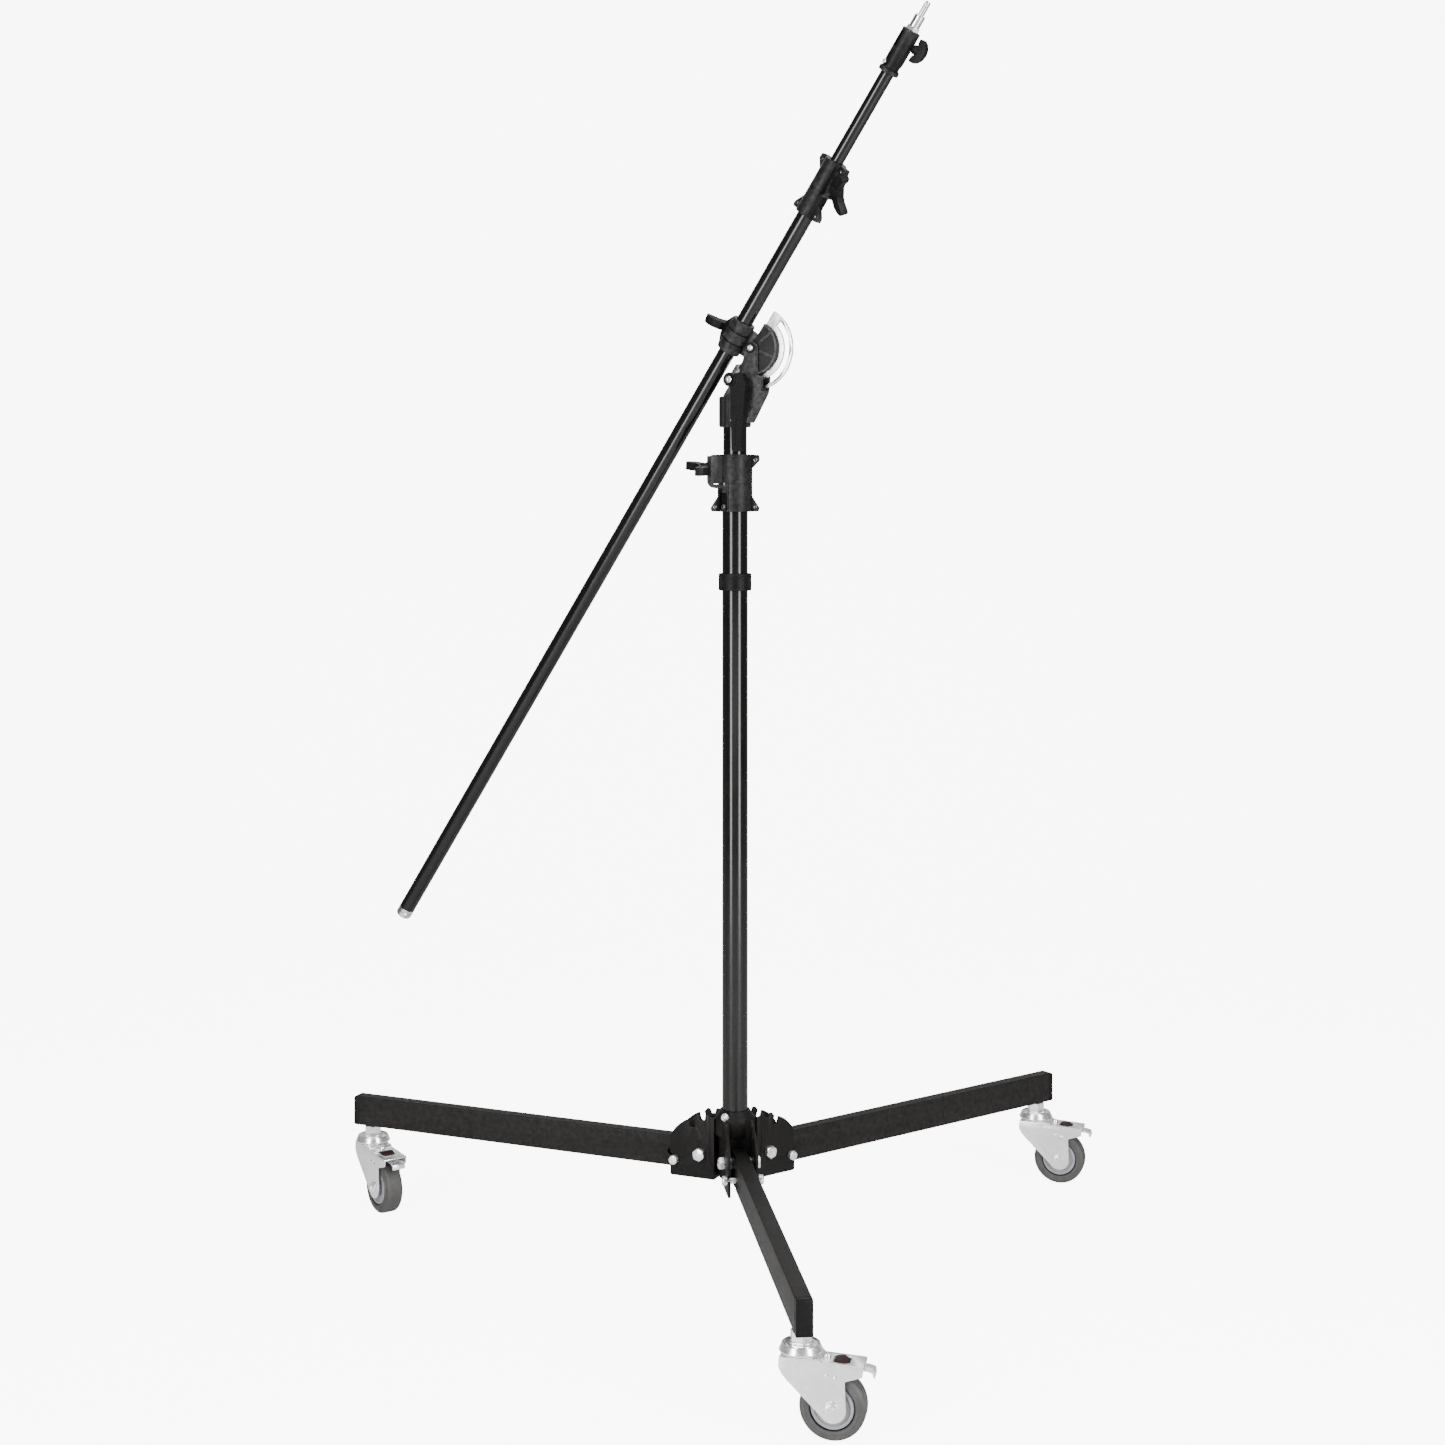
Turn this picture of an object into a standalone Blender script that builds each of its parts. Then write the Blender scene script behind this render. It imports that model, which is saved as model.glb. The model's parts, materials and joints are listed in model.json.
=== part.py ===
"""Rolling boom light stand: folding wheeled base, column, riser, tilt head and telescopic boom."""
import bpy
import bmesh
from mathutils import Matrix
from math import acos, asin, atan2, cos, degrees, hypot, pi, radians, sin

# Driving dimensions, metres. The column axis is local X = Y = 0 and the wheels stand on Z = 0.
GAP = 0.0003
ORIGIN_X, ORIGIN_Y = 0.00836, 0.12601

LEG_AZIMUTHS = {"front": -83.0, "right": 37.0, "left": 157.0}
LEG_W, LEG_TOP, LEG_BOTTOM, LEG_WALL = 0.022, 0.174, 0.130, 0.002
LEG_TUBE_END, LEG_END = 0.6450, 0.655
PIVOT_R, PIVOT_Z, PIVOT_PIN_R = 0.047, 0.155, 0.005
LOCK_R, LOCK_Z, LOCK_PIN_R = 0.0885, 0.1425, 0.0042
LOCK_TRAVEL, LOCK_DIR = 0.014, radians(30)
NOTCH_ANGLE = radians(73.5)
BRACKET_HALF, BRACKET_SHEET, BRACKET_RIM_R = 0.0220, 0.0035, 0.053
WEB_IN, WEB_OUT = 0.0245, 0.0275

STEM_R = 0.626
WHEEL_R, WHEEL_W, CORE_R, CORE_W, TRAIL = 0.041, 0.029, 0.028, 0.026, 0.040
FORK_HALF, FORK_SHEET, FORK_TOP = 0.0195, 0.0025, 0.1000
CASTER_SWIVEL = {"front": -11.0, "right": -17.0, "left": -55.0}
BRAKE_X, BRAKE_Z = 0.058, 0.0875

COLUMN_R, COLUMN_WALL, COLUMN_FOOT, COLUMN_TOP = 0.019, 0.0012, 0.1403, 1.1500
RISER_R, RISER_WALL, RISER_FOOT, RISER_TOP = 0.0175, 0.0015, 0.330, 1.2755
COLLAR_TOP, COLLAR_SHOULDER, COLLAR_LOW = 0.2215, 0.2090, 0.1843
RING_LOW, RING_TOP, RING_R = 0.992, 1.0175, 0.0245
CLAMP_LOW, CLAMP_TOP, CLAMP_R = 1.109, 1.194, 0.026
RISER_KNOB_DZ, RISER_KNOB_OUT, RISER_KNOB_HEADING = 0.064, 0.040, radians(-165)

HEAD_YAW = radians(-32.0)
TILT_Z, TILT_X = 1.3506, 0.036
BOOM_TILT = radians(55.3)
SOCKET_LOW, SOCKET_TOP, SOCKET_R = 1.2345, 1.2800, 0.024
LEVER_X, LEVER_DZ = 0.013, -0.0467
BOOM_Y, BOOM_Z = -0.012, 0.0324
BOOM_R, BOOM_WALL, BOOM_LOW, BOOM_HIGH = 0.0125, 0.0022, -1.104, 0.2515
EXT_R, EXT_WALL, EXT_LOW, EXT_HIGH = 0.010, 0.0015, -0.310, 0.486
EXT_CLAMP_LOW, EXT_CLAMP_HIGH, EXT_CLAMP_R = 0.2095, 0.2985, 0.017
RECEIVER_LOW, RECEIVER_HIGH, RECEIVER_R = 0.444, 0.512, 0.0137
QUADRANT_R, WING_SPAN = 0.062, 0.064
PLUG_END, SPIGOT_TOP = -1.120, 0.558
BOOM_KNOB_OUT, BOOM_KNOB_LEAN = 0.0265, radians(30)
EXT_KNOB_DZ, EXT_KNOB_OUT, EXT_KNOB_HEADING = 0.057, 0.0245, radians(-18)
EXT_EARS_TURN = radians(-12)

BLACK = ("black_powder_coat", (0.035, 0.033, 0.032), 0.55, 0.2)
TUBE_BLACK = ("gloss_black_tube", (0.012, 0.012, 0.013), 0.18, 0.3)
CASTING = ("black_casting", (0.03, 0.03, 0.031), 0.5, 0.1)
PLASTIC = ("black_plastic", (0.02, 0.02, 0.021), 0.6, 0.0)
ZINC = ("bright_zinc", (0.75, 0.76, 0.78), 0.28, 1.0)
CHROME = ("chrome", (0.85, 0.85, 0.87), 0.12, 1.0)
TYRE = ("grey_rubber", (0.27, 0.27, 0.26), 0.75, 0.0)
CORE = ("grey_core", (0.45, 0.46, 0.5), 0.5, 0.0)


def clear_scene():
    for obj in list(bpy.data.objects):
        bpy.data.objects.remove(obj, do_unlink=True)


def collection(name):
    col = bpy.data.collections.new(name)
    bpy.context.scene.collection.children.link(col)
    return col


clear_scene()
PARTS = collection("rolling_boom_stand")
CUTTERS = collection("cutters")


def finish_material(kind):
    name, colour, roughness, metallic = kind
    mat = bpy.data.materials.get(name)
    if mat is None:
        mat = bpy.data.materials.new(name)
        mat.use_nodes = True
        shader = mat.node_tree.nodes["Principled BSDF"]
        shader.inputs["Base Color"].default_value = (*colour, 1.0)
        shader.inputs["Roughness"].default_value = roughness
        shader.inputs["Metallic"].default_value = metallic
    return mat


def empty(name, location, rotation=(0, 0, 0), parent=None):
    obj = bpy.data.objects.new(name, None)
    PARTS.objects.link(obj)
    obj.location = location
    obj.rotation_euler = rotation
    obj.parent = parent
    return obj


def add_mesh(name, mesh, kind, parent=None, location=(0, 0, 0), rotation=(0, 0, 0)):
    """Link a mesh as a part (kind given) or as a hidden cutter (kind None)."""
    obj = bpy.data.objects.new(name, mesh)
    obj.location = location
    obj.rotation_euler = rotation
    obj.parent = parent
    if kind is None:
        CUTTERS.objects.link(obj)
        obj.hide_render = True
        obj.display_type = "WIRE"
        return obj
    PARTS.objects.link(obj)
    mesh.materials.append(finish_material(kind))
    return obj


def boolean(target, other, operation="DIFFERENCE"):
    mod = target.modifiers.new(operation.lower(), "BOOLEAN")
    mod.operation = operation
    mod.solver = "EXACT"
    mod.object = other
    return target


def box_mesh(name, low, high):
    bm = bmesh.new()
    bmesh.ops.create_cube(bm, size=1.0)
    size = [h - l for l, h in zip(low, high)]
    bmesh.ops.scale(bm, vec=size, verts=bm.verts)
    bmesh.ops.translate(bm, vec=[(l + h) / 2 for l, h in zip(low, high)], verts=bm.verts)
    mesh = bpy.data.meshes.new(name)
    bm.to_mesh(mesh)
    bm.free()
    return mesh


def cylinder_mesh(name, radius, low, high, sides=24, axis="Z"):
    """Closed cylinder from low to high along an axis through the local origin."""
    bm = bmesh.new()
    bmesh.ops.create_cone(bm, cap_ends=True, segments=sides, radius1=radius, radius2=radius,
                          depth=high - low)
    bmesh.ops.translate(bm, vec=(0, 0, (low + high) / 2), verts=bm.verts)
    turn = {"Z": None, "X": (pi / 2, "Y"), "Y": (-pi / 2, "X")}[axis]
    if turn:
        bmesh.ops.rotate(bm, cent=(0, 0, 0), matrix=Matrix.Rotation(turn[0], 3, turn[1]), verts=bm.verts)
    mesh = bpy.data.meshes.new(name)
    bm.to_mesh(mesh)
    bm.free()
    return mesh


def turned(name, profile, kind, parent=None, location=(0, 0, 0), rotation=(0, 0, 0), steps=32,
           closed=False):
    """Profile of (radius, height) points, run down the outer side, turned about local Z."""
    verts = [(r, 0, z) for r, z in profile]
    edges = [(i, i + 1) for i in range(len(verts) - 1)]
    if closed:
        edges.append((len(verts) - 1, 0))
    mesh = bpy.data.meshes.new(name)
    mesh.from_pydata(verts, edges, [])
    obj = add_mesh(name, mesh, kind, parent, location, rotation)
    mod = obj.modifiers.new("turn", "SCREW")
    mod.axis = "Z"
    mod.angle = 2 * pi
    mod.steps = steps
    mod.render_steps = steps
    mod.use_merge_vertices = True
    mod.merge_threshold = 0.00005
    mod.use_smooth_shade = True
    return obj


def tube(name, outer, inner, low, high, kind, parent=None, location=(0, 0, 0), rotation=(0, 0, 0), steps=32):
    profile = [(outer, high), (outer, low), (inner, low), (inner, high)]
    return turned(name, profile, kind, parent, location, rotation, steps, closed=True)


def prism(name, outline, y_low, y_high, kind, parent=None, location=(0, 0, 0), rotation=(0, 0, 0)):
    """Flat outline of (x, z) points, given thickness along local Y, as a welded mesh."""
    curve = bpy.data.curves.new(name + "_outline", "CURVE")
    curve.dimensions = "2D"
    curve.fill_mode = "BOTH"
    curve.extrude = (y_high - y_low) / 2
    spline = curve.splines.new("POLY")
    spline.points.add(len(outline) - 1)
    for point, (x, z) in zip(spline.points, outline):
        point.co = (x, z, 0, 1)
    spline.use_cyclic_u = True
    temp = bpy.data.objects.new(name + "_outline", curve)
    bpy.context.scene.collection.objects.link(temp)
    depsgraph = bpy.context.evaluated_depsgraph_get()
    mesh = bpy.data.meshes.new_from_object(temp.evaluated_get(depsgraph))
    bpy.data.objects.remove(temp, do_unlink=True)
    bm = bmesh.new()
    bm.from_mesh(mesh)
    bmesh.ops.remove_doubles(bm, verts=bm.verts, dist=0.00001)
    middle = (y_low + y_high) / 2
    for vert in bm.verts:
        x, z, y = vert.co
        vert.co = (x, middle - y, z)
    bmesh.ops.recalc_face_normals(bm, faces=bm.faces)
    bm.to_mesh(mesh)
    bm.free()
    mesh.name = name
    return add_mesh(name, mesh, kind, parent, location, rotation)


def arc(cx, cz, radius, start, end, count):
    """Points on a circle from start to end, in degrees."""
    angles = [radians(start + (end - start) * i / (count - 1)) for i in range(count)]
    return [(cx + radius * cos(a), cz + radius * sin(a)) for a in angles]


def capsule(x0, z0, x1, z1, radius, count=7):
    """Outline of a straight slot between two centres."""
    heading = degrees(atan2(z1 - z0, x1 - x0))
    return (arc(x0, z0, radius, heading + 270, heading + 90, count)
            + arc(x1, z1, radius, heading + 90, heading - 90, count))


def hull_of_circles(circles, count=7):
    """Outline round circles (x, z, radius) given anticlockwise, joined by their outer tangents."""
    points = []
    total = len(circles)
    for i, (x, z, r) in enumerate(circles):
        px, pz, pr = circles[i - 1]
        nx, nz, nr = circles[(i + 1) % total]
        start = atan2(z - pz, x - px) - acos(max(-1, min(1, (pr - r) / hypot(x - px, z - pz))))
        end = atan2(nz - z, nx - x) - acos(max(-1, min(1, (r - nr) / hypot(nx - x, nz - z))))
        while end < start:
            end += 2 * pi
        points += arc(x, z, r, degrees(start), degrees(end), count)
    return points


def hub(root):
    bore, collar_r, core_r, drain = COLUMN_R + GAP, 0.030, 0.0240, 0.006
    core = [(collar_r, COLLAR_SHOULDER), (collar_r, COLLAR_LOW), (core_r, COLLAR_LOW), (core_r, 0.121),
            (drain, 0.121), (drain, COLUMN_FOOT - GAP), (bore, COLUMN_FOOT - GAP), (bore, COLLAR_TOP),
            (0.022, COLLAR_TOP)]
    body = turned("hub_body", core, BLACK, root, closed=True, steps=28)
    heading, screw_z, seat = radians(-122.0), 0.2145, 0.0262
    for tag, radius, start in (("hole", 0.0027, 0.0), ("face", 0.0058, seat - GAP)):
        name = "hub_screw_" + tag
        cutter = cylinder_mesh(name, radius, start, 0.04, 16, "X")
        boolean(body, add_mesh(name, cutter, None, root, (0, 0, screw_z), (0, 0, heading)))
    shank_in, head_out, head_r, shank_r = 0.0200, 0.0315, 0.0052, 0.0024
    profile = [(0, head_out), (0.0045, head_out), (head_r, head_out - 0.001), (head_r, seat),
               (shank_r, seat), (shank_r, shank_in), (0, shank_in)]
    turned("hub_set_screw", profile, ZINC, root, (0, 0, screw_z), (0, pi / 2, heading), steps=16)


def bracket_outline():
    """Side view of a notched bracket plate, x outward from the column and z from the leg pivot."""
    px = PIVOT_R
    top = [(WEB_IN, 0.0285), (0.0315, 0.0285), (0.0315, 0.0555), (0.0330, 0.0575), (0.0385, 0.0575),
           (0.0400, 0.0500), (0.0465, 0.0495), (0.0490, 0.0560), (0.0535, 0.0565), (0.0565, 0.0525)]
    rim = arc(px, 0, BRACKET_RIM_R, 76, 27, 12)
    outer = 0.0957
    low = [(outer, 0.0225), (outer, -0.0335), (outer - 0.003, -0.0365), (WEB_IN, -0.0365)]
    return top + rim + low


def leg_bracket(name, frame):
    outline = [(x, z + PIVOT_Z) for x, z in bracket_outline()]
    body = prism("leg_bracket_" + name, outline, -BRACKET_HALF, BRACKET_HALF, BLACK, frame)
    inner = BRACKET_HALF - BRACKET_SHEET
    channel = box_mesh("channel_" + name, (WEB_OUT, -inner, 0.05), (0.2, inner, 0.3))
    boolean(body, add_mesh("channel_" + name, channel, None, frame))
    wide = BRACKET_HALF + 0.005
    reach = 0.030
    seat = capsule(LOCK_R, LOCK_Z, LOCK_R + reach * cos(LOCK_DIR), LOCK_Z + reach * sin(LOCK_DIR),
                   LOCK_PIN_R + GAP)
    boolean(body, prism("lock_seat_" + name, seat, -wide, wide, None, frame))
    lock_arm = hypot(LOCK_R - PIVOT_R, LOCK_Z - PIVOT_Z)
    x0, z0 = PIVOT_R + lock_arm * cos(NOTCH_ANGLE), PIVOT_Z + lock_arm * sin(NOTCH_ANGLE)
    notch = capsule(x0, z0, x0 + reach * cos(NOTCH_ANGLE), z0 + reach * sin(NOTCH_ANGLE),
                    LOCK_PIN_R + GAP)
    boolean(body, prism("fold_notch_" + name, notch, -wide, wide, None, frame))
    hole = cylinder_mesh("pivot_hole_" + name, PIVOT_PIN_R + GAP, -wide, wide, 20, "Y")
    boolean(body, add_mesh("pivot_hole_" + name, hole, None, frame, (PIVOT_R, 0, PIVOT_Z)))


def pivot_bolt(name, frame):
    """Hinge bolt with its spacer washers between the leg and the bracket plates."""
    face, head, half_leg = BRACKET_HALF + GAP, BRACKET_HALF + 0.0100, LEG_W / 2 + GAP
    inner = BRACKET_HALF - BRACKET_SHEET - GAP
    r, washer, hex_r = PIVOT_PIN_R, 0.0085, 0.0090
    half = [(0, head), (hex_r, head), (hex_r, face), (r, face), (r, inner), (washer, inner),
            (washer, half_leg), (r, half_leg)]
    profile = half + [(x, -z) for x, z in reversed(half)]
    turned("pivot_bolt_" + name, profile, ZINC, frame, (PIVOT_R, 0, PIVOT_Z), (pi / 2, 0, 0), steps=12)


def lock_pin(name, frame):
    face, head = BRACKET_HALF + GAP, BRACKET_HALF + 0.0085
    r, head_r = LOCK_PIN_R, 0.0070
    half = [(0, head), (head_r - 0.001, head), (head_r, head - 0.001), (head_r, face), (r, face)]
    profile = half + [(x, -z) for x, z in reversed(half)]
    turned("lock_pin_" + name, profile, ZINC, frame, (LOCK_R, 0, LOCK_Z), (pi / 2, 0, 0), steps=18)


def leg_side(inset, inner_x, outer_x):
    """Side view of the leg from its pivot axis, rounded where it swings past the hub."""
    top, low = LEG_TOP - PIVOT_Z - inset, LEG_BOTTOM - PIVOT_Z + inset
    return ([(outer_x, low), (outer_x, top)] + arc(0, 0, top, 90, 180, 7)
            + [(-top, low + 0.004), (-top + 0.004, low)])


def leg(name, frame):
    pivot = empty("leg_axis_" + name, (PIVOT_R, 0, PIVOT_Z), parent=frame)
    end = LEG_TUBE_END - PIVOT_R
    half = LEG_W / 2
    body = prism("leg_tube_" + name, leg_side(0, 0, end), -half, half, BLACK, pivot)
    low, top = LEG_BOTTOM - PIVOT_Z + LEG_WALL, LEG_TOP - PIVOT_Z - LEG_WALL
    hollow = box_mesh("leg_hollow_" + name, (-0.05, -half + LEG_WALL, low), (end + 0.01, half - LEG_WALL, top))
    boolean(body, add_mesh("leg_hollow_" + name, hollow, None, pivot))
    bore = cylinder_mesh("leg_bore_" + name, PIVOT_PIN_R + GAP, -0.02, 0.02, 20, "Y")
    boolean(body, add_mesh("leg_bore_" + name, bore, None, pivot))
    boolean(body, prism("lock_slot_" + name, lock_slot(), -0.02, 0.02, None, pivot))
    stem = cylinder_mesh("stem_hole_" + name, 0.0064, -0.03, 0.0, 20)
    boolean(body, add_mesh("stem_hole_" + name, stem, None, pivot, (STEM_R - PIVOT_R, 0, 0)))
    leg_cap(name, pivot)
    return pivot


def lock_slot():
    """Slot in the leg's walls: the pin's own travel, and its path out of the lower edge in folding."""
    x, z = LOCK_R - PIVOT_R, LOCK_Z - PIVOT_Z
    arm, clear = hypot(x, z), LOCK_PIN_R + 0.0004
    heading = degrees(LOCK_DIR)
    out_x, out_z = x + LOCK_TRAVEL * cos(LOCK_DIR), z + LOCK_TRAVEL * sin(LOCK_DIR)
    seat, floor = degrees(atan2(z, x)), -0.040
    return (arc(out_x, out_z, clear, heading + 90, heading - 90, 7)
            + arc(0, 0, arm + clear, seat - 4, -48, 6)
            + [(0.012, floor)]
            + arc(0, 0, arm - clear, -70, seat, 6)
            + arc(x, z, clear, 165, heading + 90, 4))


def leg_cap(name, pivot):
    """Rounded end cap with a short plug inside the tube."""
    half, wall = LEG_W / 2, LEG_WALL + GAP
    low, top = LEG_BOTTOM - PIVOT_Z, LEG_TOP - PIVOT_Z
    x0, x1 = LEG_TUBE_END - PIVOT_R + GAP, LEG_END - PIVOT_R
    round_r = 0.004
    outline = ([(x0, low), (x1 - round_r, low)] + arc(x1 - round_r, low + round_r, round_r, -67, 0, 4)
               + arc(x1 - round_r, top - round_r, round_r, 0, 90, 5) + [(x0, top)])
    cap = prism("leg_cap_" + name, outline, -half, half, PLASTIC, pivot)
    plug = box_mesh("cap_plug_" + name, (x0 - 0.007, -half + wall, low + wall),
                    (x0 + 0.004, half - wall, top - wall))
    boolean(cap, add_mesh("cap_plug_" + name, plug, None, pivot), "UNION")


def caster_fork_outline():
    """Side view of the caster fork and its brake housing, x behind the stem and z from the floor."""
    ax, az, eye = TRAIL, WHEEL_R, 0.0185
    front = [(-0.0245, FORK_TOP), (-0.0250, 0.0870), (-0.0150, 0.0740)]
    lower = arc(ax, az, eye, 207, 365, 10)
    rear = [(0.0560, 0.0755), (0.0770, 0.0820), (0.0790, 0.0935), (0.0280, 0.0965), (0.0245, FORK_TOP)]
    return front + lower + rear


def caster(name, pivot):
    base = empty("stem_axis_" + name, (STEM_R - PIVOT_R, 0, -PIVOT_Z), parent=pivot)
    rod, nut_r, seat, rim_r, dish_r = 0.006, 0.0142, 0.1110, 0.0234, 0.0268
    stem = [(0, 0.1580), (rod, 0.1580), (rod, LEG_BOTTOM - GAP), (nut_r, LEG_BOTTOM - GAP),
            (nut_r, seat), (rim_r - 0.0020, seat), (rim_r - 0.0010, 0.1130), (rim_r, 0.1125),
            (dish_r, 0.1050), (dish_r, 0.1032), (0.0200, FORK_TOP + GAP), (0.0050, FORK_TOP + GAP),
            (0.0050, 0.0967), (0.0085, 0.0967), (0.0080, 0.0935), (0, 0.0930)]
    turned("caster_stem_" + name, stem, ZINC, base, steps=20)
    swing = empty("swivel_axis_" + name, (0, 0, 0), (0, 0, radians(CASTER_SWIVEL[name] - LEG_AZIMUTHS[name])),
                  base)
    fork = prism("caster_fork_" + name, caster_fork_outline(), -FORK_HALF, FORK_HALF, ZINC, swing)
    inner, roof = FORK_HALF - FORK_SHEET, FORK_TOP - 0.0030
    channel = box_mesh("fork_channel_" + name, (-0.06, -inner, 0.0), (0.026, inner, roof))
    boolean(fork, add_mesh("fork_channel_" + name, channel, None, swing))
    bay = box_mesh("brake_bay_" + name, (0.0255, -inner, 0.0), (0.12, inner, 0.0915))
    boolean(fork, add_mesh("brake_bay_" + name, bay, None, swing))
    window = box_mesh("brake_window_" + name, (0.040, -0.0115, 0.08), (0.062, 0.0115, 0.12))
    boolean(fork, add_mesh("brake_window_" + name, window, None, swing))
    king = cylinder_mesh("king_hole_" + name, 0.0053, 0.08, 0.12, 20)
    boolean(fork, add_mesh("king_hole_" + name, king, None, swing))
    axle_hole = cylinder_mesh("axle_hole_" + name, 0.0053, -0.03, 0.03, 20, "Y")
    boolean(fork, add_mesh("axle_hole_" + name, axle_hole, None, swing, (TRAIL, 0, WHEEL_R)))
    wheel(name, swing)
    brake(name, swing)


def wheel(name, swing):
    side = (pi / 2, 0, 0)
    hub_axis = empty("wheel_axis_" + name, (TRAIL, 0, WHEEL_R), side, swing)
    face, head = FORK_HALF + GAP, FORK_HALF + 0.0055
    half = [(0, head), (0.0070, head), (0.0078, head - 0.001), (0.0078, face), (0.005, face)]
    turned("axle_bolt_" + name, half + [(x, -z) for x, z in reversed(half)], ZINC, hub_axis, steps=18)
    half_core, bore = CORE_W / 2, 0.0054
    hub_half = FORK_HALF - FORK_SHEET - 0.0008
    core = [(CORE_R, half_core), (CORE_R, -half_core), (0.012, -half_core), (0.010, -hub_half),
            (bore, -hub_half), (bore, hub_half), (0.010, hub_half), (0.012, half_core)]
    turned("wheel_core_" + name, core, CORE, hub_axis, closed=True, steps=24)
    inner, half_w, shoulder = CORE_R + GAP, WHEEL_W / 2, 0.0060
    tread = [(WHEEL_R - shoulder * (1 - cos(a)), half_w - shoulder + shoulder * sin(a))
             for a in (pi / 2, pi / 4, 0)]
    outer = tread + [(r, -z) for r, z in reversed(tread)]
    turned("tyre_" + name, outer + [(inner, -half_w), (inner, half_w)], TYRE, hub_axis, closed=True, steps=28)


def brake(name, swing):
    """Rocking brake lever: a release tab in the window and a pedal behind the housing."""
    pivot = empty("brake_axis_" + name, (BRAKE_X, 0, BRAKE_Z), parent=swing)
    outline = [(-0.0160, 0.0010), (-0.0150, 0.0115), (-0.0060, 0.0125), (-0.0020, 0.0020), (0.0250, 0.0010),
               (0.0330, -0.0020), (0.0335, -0.0090), (0.0315, -0.0090), (0.0305, -0.0040), (0.0240, -0.0018),
               (-0.0020, -0.0008)]
    prism("brake_pedal_" + name, outline, -0.0105, 0.0105, ZINC, pivot)


def base_unit(root):
    hub(root)
    for name, azimuth in LEG_AZIMUTHS.items():
        frame = empty("leg_frame_" + name, (0, 0, 0), (0, 0, radians(azimuth)), root)
        leg_bracket(name, frame)
        pivot_bolt(name, frame)
        lock_pin(name, frame)
        caster(name, leg(name, frame))


def column(root):
    tube("column_tube", COLUMN_R, COLUMN_R - COLUMN_WALL, COLUMN_FOOT, COLUMN_TOP, TUBE_BLACK, root)
    ring = [(RING_R - 0.002, RING_TOP), (RING_R, RING_TOP - 0.003), (RING_R, RING_LOW + 0.003),
            (RING_R - 0.002, RING_LOW), (COLUMN_R + GAP, RING_LOW), (COLUMN_R + GAP, RING_TOP)]
    turned("column_ring", ring, PLASTIC, root, closed=True)
    tube("riser_tube", RISER_R, RISER_R - RISER_WALL, RISER_FOOT, RISER_TOP, TUBE_BLACK, root)


def clamp_ears(half_base, half_waist, length):
    """Waisted side view with four ears, x across and z up from the clamp's lower end."""
    side = [(half_base - 0.004, 0), (half_base, 0.003), (half_base - 0.002, 0.008),
            (half_waist, 0.026), (half_waist, length - 0.020), (half_base, length - 0.006),
            (half_base - 0.002, length)]
    return side + [(-x, z) for x, z in reversed(side)]


def clamp_body(name, parent, rotation, location, length, step, radii, ears, boss):
    """Clamp casting on the lower tube (bore radii[0]) and the sliding tube (radii[1])."""
    outer, lower_bore, upper_bore = radii
    body = turned(name, [(0, length), (outer, length), (outer, 0), (0, 0)], CASTING, parent, location,
                  rotation, steps=32)
    thick = outer * 0.45
    boolean(body, prism(name + "_ears", clamp_ears(*ears, length), -thick, thick, None, parent, location,
                        rotation), "UNION")
    boss_z, half_wide, half_tall, boss_out, heading = boss
    block = box_mesh(name + "_lug", (0, -half_wide, -half_tall), (boss_out, half_wide, half_tall))
    lug = add_mesh(name + "_lug", block, None, body, (0, 0, boss_z), (0, 0, heading))
    boolean(body, lug, "UNION")
    low = cylinder_mesh(name + "_low", lower_bore, -0.01, step, 32)
    high = cylinder_mesh(name + "_high", upper_bore, step - 0.001, length + 0.01, 32)
    for bore in (low, high):
        boolean(body, add_mesh(bore.name, bore, None, body))
    return body


def wing_knob(name, parent, location, rotation, span, spin):
    """Two-lobed wing knob: its screw axis is local Z and its lobes lie at spin from local X."""
    boss = turned(name, [(0, 0.012), (0.0085, 0.012), (0.0095, 0.0), (0, 0.0)], PLASTIC, parent, location,
                  rotation, steps=24)
    half, thick = span / 2, 0.0045
    lobe = [(0.006, 0.003), (0.014, 0.0055), (half - 0.0035, 0.0150), (half, 0.0215), (half - 0.0015, 0.0275),
            (half - 0.0050, 0.0285), (half - 0.0095, 0.0265), (0.0150, 0.0190), (0.0060, 0.0125)]
    wing = lobe + [(-x, z) for x, z in reversed(lobe)]
    boolean(boss, prism(name + "_wing", wing, -thick, thick, None, boss, (0, 0, 0), (0, 0, spin)), "UNION")
    return boss


def riser_clamp(root):
    length = CLAMP_TOP - CLAMP_LOW
    step = COLUMN_TOP - CLAMP_LOW + GAP
    heading = RISER_KNOB_HEADING
    clamp_body("riser_clamp_body", root, (0, 0, 0), (0, 0, CLAMP_LOW), length, step,
               (CLAMP_R, COLUMN_R + GAP, RISER_R + 0.0004), (0.036, 0.026),
               (0.058, 0.0125, 0.026, RISER_KNOB_OUT, heading))
    reach = RISER_KNOB_OUT + GAP
    wing_knob("riser_knob", root, (reach * cos(heading), reach * sin(heading), CLAMP_LOW + RISER_KNOB_DZ),
              (pi / 2, 0, heading + pi / 2), WING_SPAN, radians(10))


def fork_outline():
    """Side view of the tilt yoke: x from the column axis, z from the tilt pivot."""
    px = TILT_X
    return ([(0.0246, -0.1120), (0.0300, -0.1040), (0.0520, -0.0660), (0.0545, -0.0440), (0.0480, -0.0120)]
            + arc(px, 0, 0.0084, 0, 180, 9)
            + [(0.0200, -0.0280)] + arc(LEVER_X, LEVER_DZ, 0.0105, 75, 190, 6)
            + [(-0.0080, -0.0640), (-0.0120, -0.0703), (0.0246, -0.0703)])


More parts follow.
